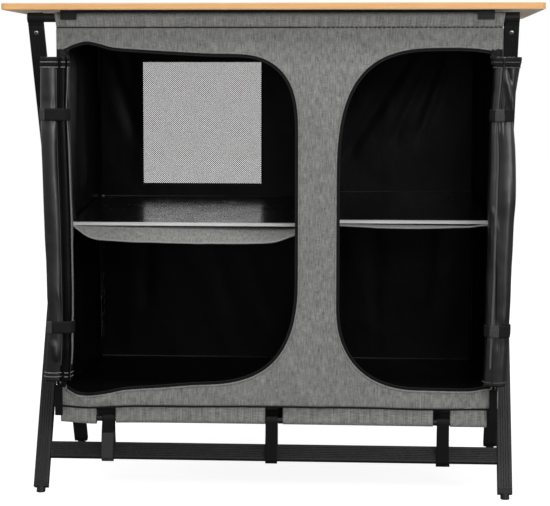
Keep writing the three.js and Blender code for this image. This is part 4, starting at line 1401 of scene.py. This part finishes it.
# %% Bindings on the rolls
TOP_ROWS = (0.0085, 0.0168)
BOTTOM_ROWS = {"left": (0.0078, 0.0144), "right": (0.0065,)}
ROLL_GIRTH = 0.14
BINDING_TURN, BAND_TURN = 0.030, 0.97
RING_GAP, RING_RADIUS = 0.0012, 0.0007
LINE_HEIGHTS = (0.225, 0.715)


def roll_band(name, roll, turns, heights, made, out=0.0009, columns=4):
    rows = max(2, round(abs(heights[1] - heights[0]) / 0.004))

    def place(u, v):
        return roll.point(mix(*turns, u), mix(*heights, v), out)

    size = (abs(turns[1] - turns[0]) * ROLL_GIRTH, heights[1] - heights[0])
    bm = shaped_grid(columns, rows, size, place)
    thicken(finish_piece(name, bm, made, "front_cloth"), 0.0008)


def roll_bindings(roll, made):
    z0, z1 = roll.low[2], roll.high[2]
    edge, top = (z0 + 0.028, z1 - 0.016), (z1 - 0.0165, z1 - 0.0005)
    roll_band(f"{roll.word}_edge_binding", roll, (0.0, BINDING_TURN), edge, made)
    roll_band(f"{roll.word}_top_band", roll, (0.0, BAND_TURN), top, WEBBING, 0.0006, 60)
    heights = [z1 - step for step in TOP_ROWS] + [z0 + step for step in BOTTOM_ROWS[roll.word]]
    for i, drop in enumerate(heights):
        ring = [roll.point(turn / 60, drop, RING_GAP) for turn in range(59)]
        seam_threads(f"{roll.word}_ring_{i}", ring, RING_RADIUS, made)


for one_roll, made in zip(ROLLS, (PIPING, DULL_PIPING)):
    roll_bindings(one_roll, made)
INNER_LINE = [ROLLS[0].point(LINE_TURN, mix(*LINE_HEIGHTS, i / 60), 0.0004) for i in range(61)]
seam_threads("left_inner_line", INNER_LINE, RING_RADIUS, DULL_PIPING)

# %% [markdown]
# The ties are bands of black webbing, sewn to the panel and closed round the roll. A tight band
# bridges the groove between the lobes, so its section is the convex outline of the roll's. Each is
# painted lighter on a part in front where the light falls: a row gives where that part starts and ends
# from the band's left side.

# %% Ties
TIE_LIT_SPANS = {"left": (0.0, 0.011), "right": (0.008, 0.022)}
TIE_GAP, TIE_THICKNESS = 0.0012, 0.0011


def tie(roll, level):
    z0, z1 = low(f"{roll.word}_door_{level}_tie")[2], high(f"{roll.word}_door_{level}_tie")[2]
    height = (z0 + z1) / 2
    angles = [step / 20 for step in range(126)]
    round_roll = [roll.at(a, roll.skin(a, height) + TIE_GAP, height) for a in angles]
    loop = hull([(p.x, p.y) for p in round_roll])
    points = even_spacing([*loop, loop[0]], 0.0025)

    def place(u, v):
        x, y = points[round(u * (len(points) - 1))]
        slack = 0.0005 * soft_noise(x * 90, y * 90, v * 3, seed=roll.seed)
        lean = through(roll.sway, mix(z0, z1, v)) - through(roll.sway, height)
        swell = 0.0003 * math.sin(math.pi * v) + slack
        out = (Vector((x, y)) - roll.centre.xy).normalized() * swell
        return Vector((x + out.x + lean, y + out.y, mix(z0, z1, v)))

    bm = shaped_grid(len(points) - 1, 8, (run_length(points), z1 - z0), place)
    bmesh.ops.remove_doubles(bm, verts=bm.verts, dist=1e-5)
    left = min(p[0] for p in points)
    start, end = TIE_LIT_SPANS[roll.word]
    # Faces in front within that span take the lighter webbing as painted light.
    for face in bm.faces:
        spot = face.calc_center_median()
        in_lit_span = start <= spot.x - left < end and spot.y < roll.centre[1]
        face.material_index = int(in_lit_span)
    name = f"{roll.word}_{level}_tie"
    piece = finish_piece(name, bm, [WEBBING, LIT_WEBBING_PAINT], "front_cloth")
    thicken(piece, TIE_THICKNESS, 1.0)
    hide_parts(f"{roll.word}_door_{level}_tie")


for one_roll in ROLLS:
    for which in ("upper", "lower"):
        tie(one_roll, which)

# %% [markdown]
# A zip runs round each doorway: a dark tape sewn behind the cloth's edge, with a coil of teeth at
# its free side. The tape is a flat band that follows the doorway's outline. A row gives a band's
# inner edge, its outer edge and its lift from the cloth's face.

# %% Zips round the doorways
ZIP_TAPE, ZIP_FOLD = (-0.0050, 0.0022, -0.0016), (-0.0003, 0.0024, 0.0003)
BAND_THICKNESS = 0.0008
COIL_PLACE, COIL_RADIUS, COIL_LIFT = -0.0046, 0.0011, -0.0008


def outline_band(name, line, inner, outer, lift, made, rows=3):
    first, second = grown(line, inner), grown(line, outer)
    count = len(first)

    def place(u, v):
        i = min(count - 1, round(u * (count - 1)))
        spot = first[i].lerp(second[i], v)
        return Vector((spot.x, FRONT + panel_relief(spot.x, spot.y) - lift, spot.y))

    bm = shaped_grid(count - 1, rows, (run_length(first), abs(outer - inner)), place)
    thicken(finish_piece(name, bm, made, "front_cloth"), BAND_THICKNESS)


def zip_coil(name, line):
    spots = grown(line, COIL_PLACE)
    coil = [Vector((p.x, FRONT + panel_relief(p.x, p.y) - COIL_LIFT, p.y)) for p in spots]
    finish_piece(name, cord_mesh(coil, COIL_RADIUS), TAPE, "front_cloth")


for word, line in DOORWAYS.items():
    outline_band(f"{word}_zip_tape", line, *ZIP_TAPE, TAPE)
    outline_band(f"{word}_zip_fold", line, *ZIP_FOLD, GREY_CLOTH)
    zip_coil(f"{word}_zip_coil", line)

# %% [markdown]
# At the top of each roll the zip's end is sewn down by a black patch. It joins the doorway's outer
# corner to the roll.


# %% Zip end patches
def zip_end(word, x0, x1, z0, z1, seed):
    def place(u, v):
        x, z = mix(x0, x1, u), mix(z0, z1, v)
        crumple = 0.0050 * soft_noise(x * 120, z * 120, seed=seed)
        bulge = 0.008 * math.sin(math.pi * v) * (1 - u) + crumple
        ragged = 0.003 * soft_noise(u * 3, v * 3, seed=seed + 2)
        return Vector((x + ragged, FRONT - 0.0016 - abs(bulge), z + ragged))

    bm = shaped_grid(12, 18, (abs(x1 - x0), z1 - z0), place)
    if x1 < x0:
        bmesh.ops.reverse_faces(bm, faces=bm.faces)
    piece = finish_piece(f"{word}_zip_end", bm, WEBBING, "front_cloth")
    thicken(piece, 0.0010)


zip_end("left", CLOTH_LEFT + 0.005, CLOTH_LEFT + 0.021, 0.717, 0.748, 3.0)
zip_end("right", CLOTH_RIGHT - 0.006, CLOTH_RIGHT - 0.019, 0.722, 0.747, 5.0)

# %% [markdown]
# The hem is sewn into flaps round a rod. Between the flaps the rod is bare, so that straps can
# reach it. A row gives how far a gap goes to the left and right of its strap, and the strap's own
# shift.

# %% Hem flaps
GAPS = [(0.024, 0.0095, -0.003), (0.014, 0.016, -0.0035), (0.016, 0.0125, 0.001)]
STRAP_WORDS = ("left", "middle", "right")
STRAP_PLACES = [middle(f"{word}_hem_strap")[0] for word in STRAP_WORDS]
STRAP_WIDTH = high("left_hem_strap")[0] - low("left_hem_strap")[0]
FLAP_SAG = [(-0.354, 0.0), (-0.298, -0.0034), (-0.26, -0.001), (-0.12, 0), (0.36, -0.0006)]


def hem_move(x, z, far):
    wave = 0.0007 * soft_noise(x * 16, z * 30, seed=17.0)
    return wave * math.sin(math.pi * far), mix(through(HEM_WAVE, x), through(FLAP_SAG, x), far)


def hem_flaps(node, rod, seam_y, body):
    section = loop_round((rod[1], rod[2]), ROD_RADIUS + 0.0010, (seam_y, HEM + 0.003))
    edges = [low(f"{node}_sleeve")[0]]
    for place, (before, after, _) in zip(STRAP_PLACES, GAPS):
        edges += [place - before, place + after]
    edges.append(high(f"{node}_sleeve")[0])
    for i in range(0, len(edges), 2):
        ends = (edges[i], edges[i + 1])
        piece = loop_sheet(f"{node}_flap_{i // 2}", section, ends, hem_move, body)
        if i == 0:
            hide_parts(f"{node}_sleeve")


hem_flaps("front_hem", FRONT_ROD, FRONT + 0.0016, "front_cloth")
hem_flaps("rear_hem", REAR_ROD, BACK - 0.0016, "body")
# A dark cord along the hem's seam is painted shadow: it stands for the shade in the gap between the
# panel and the flaps.
HEM_SHADOW_CORD = along_front(CLOTH_LEFT, CLOTH_RIGHT, lambda x: hem_line(x) - 0.0010, 0.0)
seam_threads("hem_painted_shadow", HEM_SHADOW_CORD, 0.0016, WEBBING)

# %% [markdown]
# Straps of webbing go from the bare rod round the frame's lower rail and hold the cloth down. A
# strap lies taut on both bars, so its section is the convex line round them, with a little slack
# below the rail. The rail leans with its frame, so its corners are read from its own mesh.


# %% Taut loops
CORNER_RADIUS = 0.0004


def taut_loop(circles, gap, steps=20):
    """The taut loop round circles (y, z, radius), as points in order."""
    points = []
    for y, z, radius in circles:
        for i in range(steps):
            angle = 2 * math.pi * i / steps
            points.append((y + (radius + gap) * math.cos(angle), z + (radius + gap) * math.sin(angle)))
    return hull(points)


def rail_circles(node, slack):
    """The lower rail's four corners, as it leans with its frame, and a slack point below it."""
    side = [v.co for v in frame["nodes"][node].data.vertices]
    keys = (lambda p: p.z, lambda p: -p.z, lambda p: p.y, lambda p: -p.y)
    corners = [min(side, key=key) for key in keys]
    below = (corners[0].y, corners[0].z - slack, CORNER_RADIUS)
    return [(p.y, p.z, CORNER_RADIUS) for p in corners] + [below]


# %% [markdown]
# A strap is a band round that loop. Each one is a little different: a row gives its slack, its noise
# seed, how far its lower end drifts sideways, how much it widens there, and whether its lower part
# takes the lighter webbing as painted light.

# %% Straps
LIT_SHARE = 0.68
STRAP_GAP, STRAP_THICKNESS = 0.0010, 0.0013
REAR_SLACK, REAR_SEED = 0.001, 5
STRAP_SHAPES = [
    (0.001, 0, -0.0075, 0.0, True),
    (0.001, 1, -0.002, 0.0, False),
    (0.002, 2, 0.001, 0.16, False),
]


def strap(name, place, rod, rail_node, body, slack, seed, drift=0.0, flare=0.0, lit_lower=False):
    circles = [(rod[1], rod[2], ROD_RADIUS)] + rail_circles(rail_node, slack)
    loop = taut_loop(circles, STRAP_GAP)
    points = even_spacing([*loop, loop[0]], 0.004)
    centre = Vector((sum(p[0] for p in points), sum(p[1] for p in points))) / len(points)
    lowest = min(p[1] for p in points)

    def spot(u, v):
        y, z = points[round(u * (len(points) - 1))]
        wave = 0.0008 * soft_noise(y * 40, z * 40, seed=seed)
        wider = 1 + flare * math.exp(-(((z - lowest) / 0.012) ** 2))
        across = (v - 0.5) * STRAP_WIDTH * wider + 0.0012 * soft_noise(z * 14, seed=seed + 3)
        x = place + across + drift * (rod[2] - z) / (rod[2] - lowest)
        out = Vector((y - centre.x, z - centre.y)).normalized() * abs(wave)
        return Vector((x, y + out.x, z + out.y))

    bm = shaped_grid(len(points) - 1, 6, (run_length(points), STRAP_WIDTH), spot)
    bmesh.ops.remove_doubles(bm, verts=bm.verts, dist=1e-5)
    # Where set, the strap's lower part takes the lighter webbing: painted light where the light falls.
    lit_top = mix(lowest, rod[2], LIT_SHARE)
    for face in bm.faces:
        face.material_index = int(lit_lower and face.calc_center_median().z < lit_top)
    piece = finish_piece(name, bm, [WEBBING, LIT_WEBBING_PAINT], body)
    thicken(piece, STRAP_THICKNESS, 1.0)
    return piece


for index, word in enumerate(STRAP_WORDS):
    spot = STRAP_PLACES[index] + GAPS[index][2]
    rail = "front_frame_lower_rail"
    shape = STRAP_SHAPES[index]
    piece = strap(f"front_{word}_strap", spot, FRONT_ROD, rail, "front_cloth", *shape)
    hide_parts(f"{word}_hem_strap")
    rail = "rear_frame_lower_rail"
    strap(f"rear_{word}_strap", spot, REAR_ROD, rail, "body", REAR_SLACK, index + REAR_SEED)

# %% [markdown]
# Domed rivets hold each top corner's plug in its tube. A rivet is half a sphere, flattened and
# turned to the leg's lean, on both wide faces of the leg.

# %% Rivets
RIVET_DROP = 0.0247
TUBE_HALF = 0.0065
JOINTS = {joint["name"]: joint for joint in frame["record"]["behaviour"]["joints"]}
PIVOT = Vector(JOINTS["cross_pivot"]["pos_m"])


def rivet(name, place, direction, body, radius=0.0040, height=0.0016):
    bm = bmesh.new()
    bmesh.ops.create_uvsphere(bm, u_segments=20, v_segments=10, radius=radius)
    everything = bm.verts[:] + bm.edges[:] + bm.faces[:]
    centre, below = (0, 0, 0), (0, 0, -1)
    bmesh.ops.bisect_plane(bm, geom=everything, plane_co=centre, plane_no=below, clear_outer=True)
    bmesh.ops.scale(bm, vec=(1, 1, height / radius), verts=bm.verts)
    bmesh.ops.holes_fill(bm, edges=bm.edges, sides=0)
    turn = Vector((0, 0, 1)).rotation_difference(direction).to_matrix().to_4x4()
    bmesh.ops.transform(bm, matrix=Matrix.Translation(place) @ turn, verts=bm.verts)
    finish_piece(name, bm, STEEL, body)


for prefix, rail, toward in (("rear_frame", FRONT_RAIL, -1), ("front_frame", REAR_RAIL, 1)):
    lean = math.atan2(abs(rail[1] - PIVOT.y), rail[2] - PIVOT.z)
    down = Vector((0, -toward * math.sin(lean), -math.cos(lean)))
    face = Vector((0, toward * math.cos(lean), -math.sin(lean)))
    for word in ("left", "right"):
        x = middle(f"{prefix}_{word}_upper_tube")[0]
        centre = Vector((x, rail[1], rail[2])) + down * RIVET_DROP
        for which, normal in (("outer", face), ("inner", -face)):
            rivet(f"{prefix}_{word}_{which}_rivet", centre + normal * TUBE_HALF, normal, prefix)

# %% [markdown]
# The studio is a pale floor, a white world and five soft lights. The world and the floor show
# white to the camera, but they light the object more weakly, so that the black cloth stays black
# and the floor still takes the shadow.

# %% Studio floor and world
FLOOR_GLOW = 0.86
WORLD_LIGHT = 0.24
WORLD_MIRRORED = 0.60


def studio_floor():
    bm = bmesh.new()
    bmesh.ops.create_grid(bm, x_segments=1, y_segments=1, size=12)
    mesh = bpy.data.meshes.new("studio_floor")
    bm.to_mesh(mesh)
    bm.free()
    ground = bpy.data.objects.new("studio_floor", mesh)
    bpy.context.collection.objects.link(ground)
    made, t, shader = material("studio_floor")
    t.fill(shader, {"Roughness": 0.9, "Emission Color": grey(1.0)})
    path = t.add("LightPath").outputs
    t.links.new(t.blend(path["Is Glossy Ray"], grey(0.50), grey(0.06)), shader["Base Color"])
    seen = t.math("MAXIMUM", path["Is Camera Ray"], path["Is Transmission Ray"])
    t.links.new(t.math("MULTIPLY", seen, FLOOR_GLOW), shader["Emission Strength"])
    mesh.materials.append(made)


def studio_world():
    world = bpy.data.worlds.new("studio")
    bpy.context.scene.world = world
    world.use_nodes = True
    t = Tree(world.node_tree)
    background = world.node_tree.nodes["Background"].inputs
    path = t.add("LightPath").outputs
    seen = t.math("MAXIMUM", path["Is Camera Ray"], path["Is Transmission Ray"])
    mirrored = t.math("MULTIPLY", path["Is Glossy Ray"], WORLD_MIRRORED - WORLD_LIGHT)
    strength = t.math("ADD", t.math("MULTIPLY", seen, 1 - WORLD_LIGHT), WORLD_LIGHT)
    t.links.new(t.math("ADD", strength, mirrored), background["Strength"])
    t.fill(background, {"Color": grey(1.0)})


studio_floor()
studio_world()
print("world light", WORLD_LIGHT, "floor glow", FLOOR_GLOW)

# %% [markdown]
# One light stands in front and one hangs above the front edge, so that the worktop shades the top
# of the cloth. Of the two at the sides only the right one is mirrored, and it draws the long light
# along a roll and a leg. A weak light behind keeps the back readable.

# %% Lights
AIM = Vector((0, 0, 0.45))


def soft_light(name, place, size, power, mirrored=True):
    data = bpy.data.lights.new(name, "AREA")
    data.shape = "RECTANGLE"
    data.size, data.size_y = size
    data.energy = power
    light = bpy.data.objects.new(name, data)
    light.location = place
    light.visible_glossy = mirrored
    light.rotation_euler = (AIM - Vector(place)).to_track_quat("-Z", "Y").to_euler()
    bpy.context.collection.objects.link(light)


soft_light("front_light", (0.9, -3.0, 1.8), (1.3, 1.5), 25)
soft_light("top_light", (0.0, -0.80, 2.6), (2.4, 0.35), 40)
soft_light("left_light", (-2.5, -1.3, 1.0), (1.5, 1.6), 19, mirrored=False)
soft_light("right_light", (2.3, -2.0, 1.1), (0.8, 1.7), 20)
soft_light("back_light", (-0.1, 3.0, 1.3), (2.4, 1.6), 10)
bpy.context.scene.view_settings.view_transform = "Standard"
print("lights", len(bpy.data.lights))
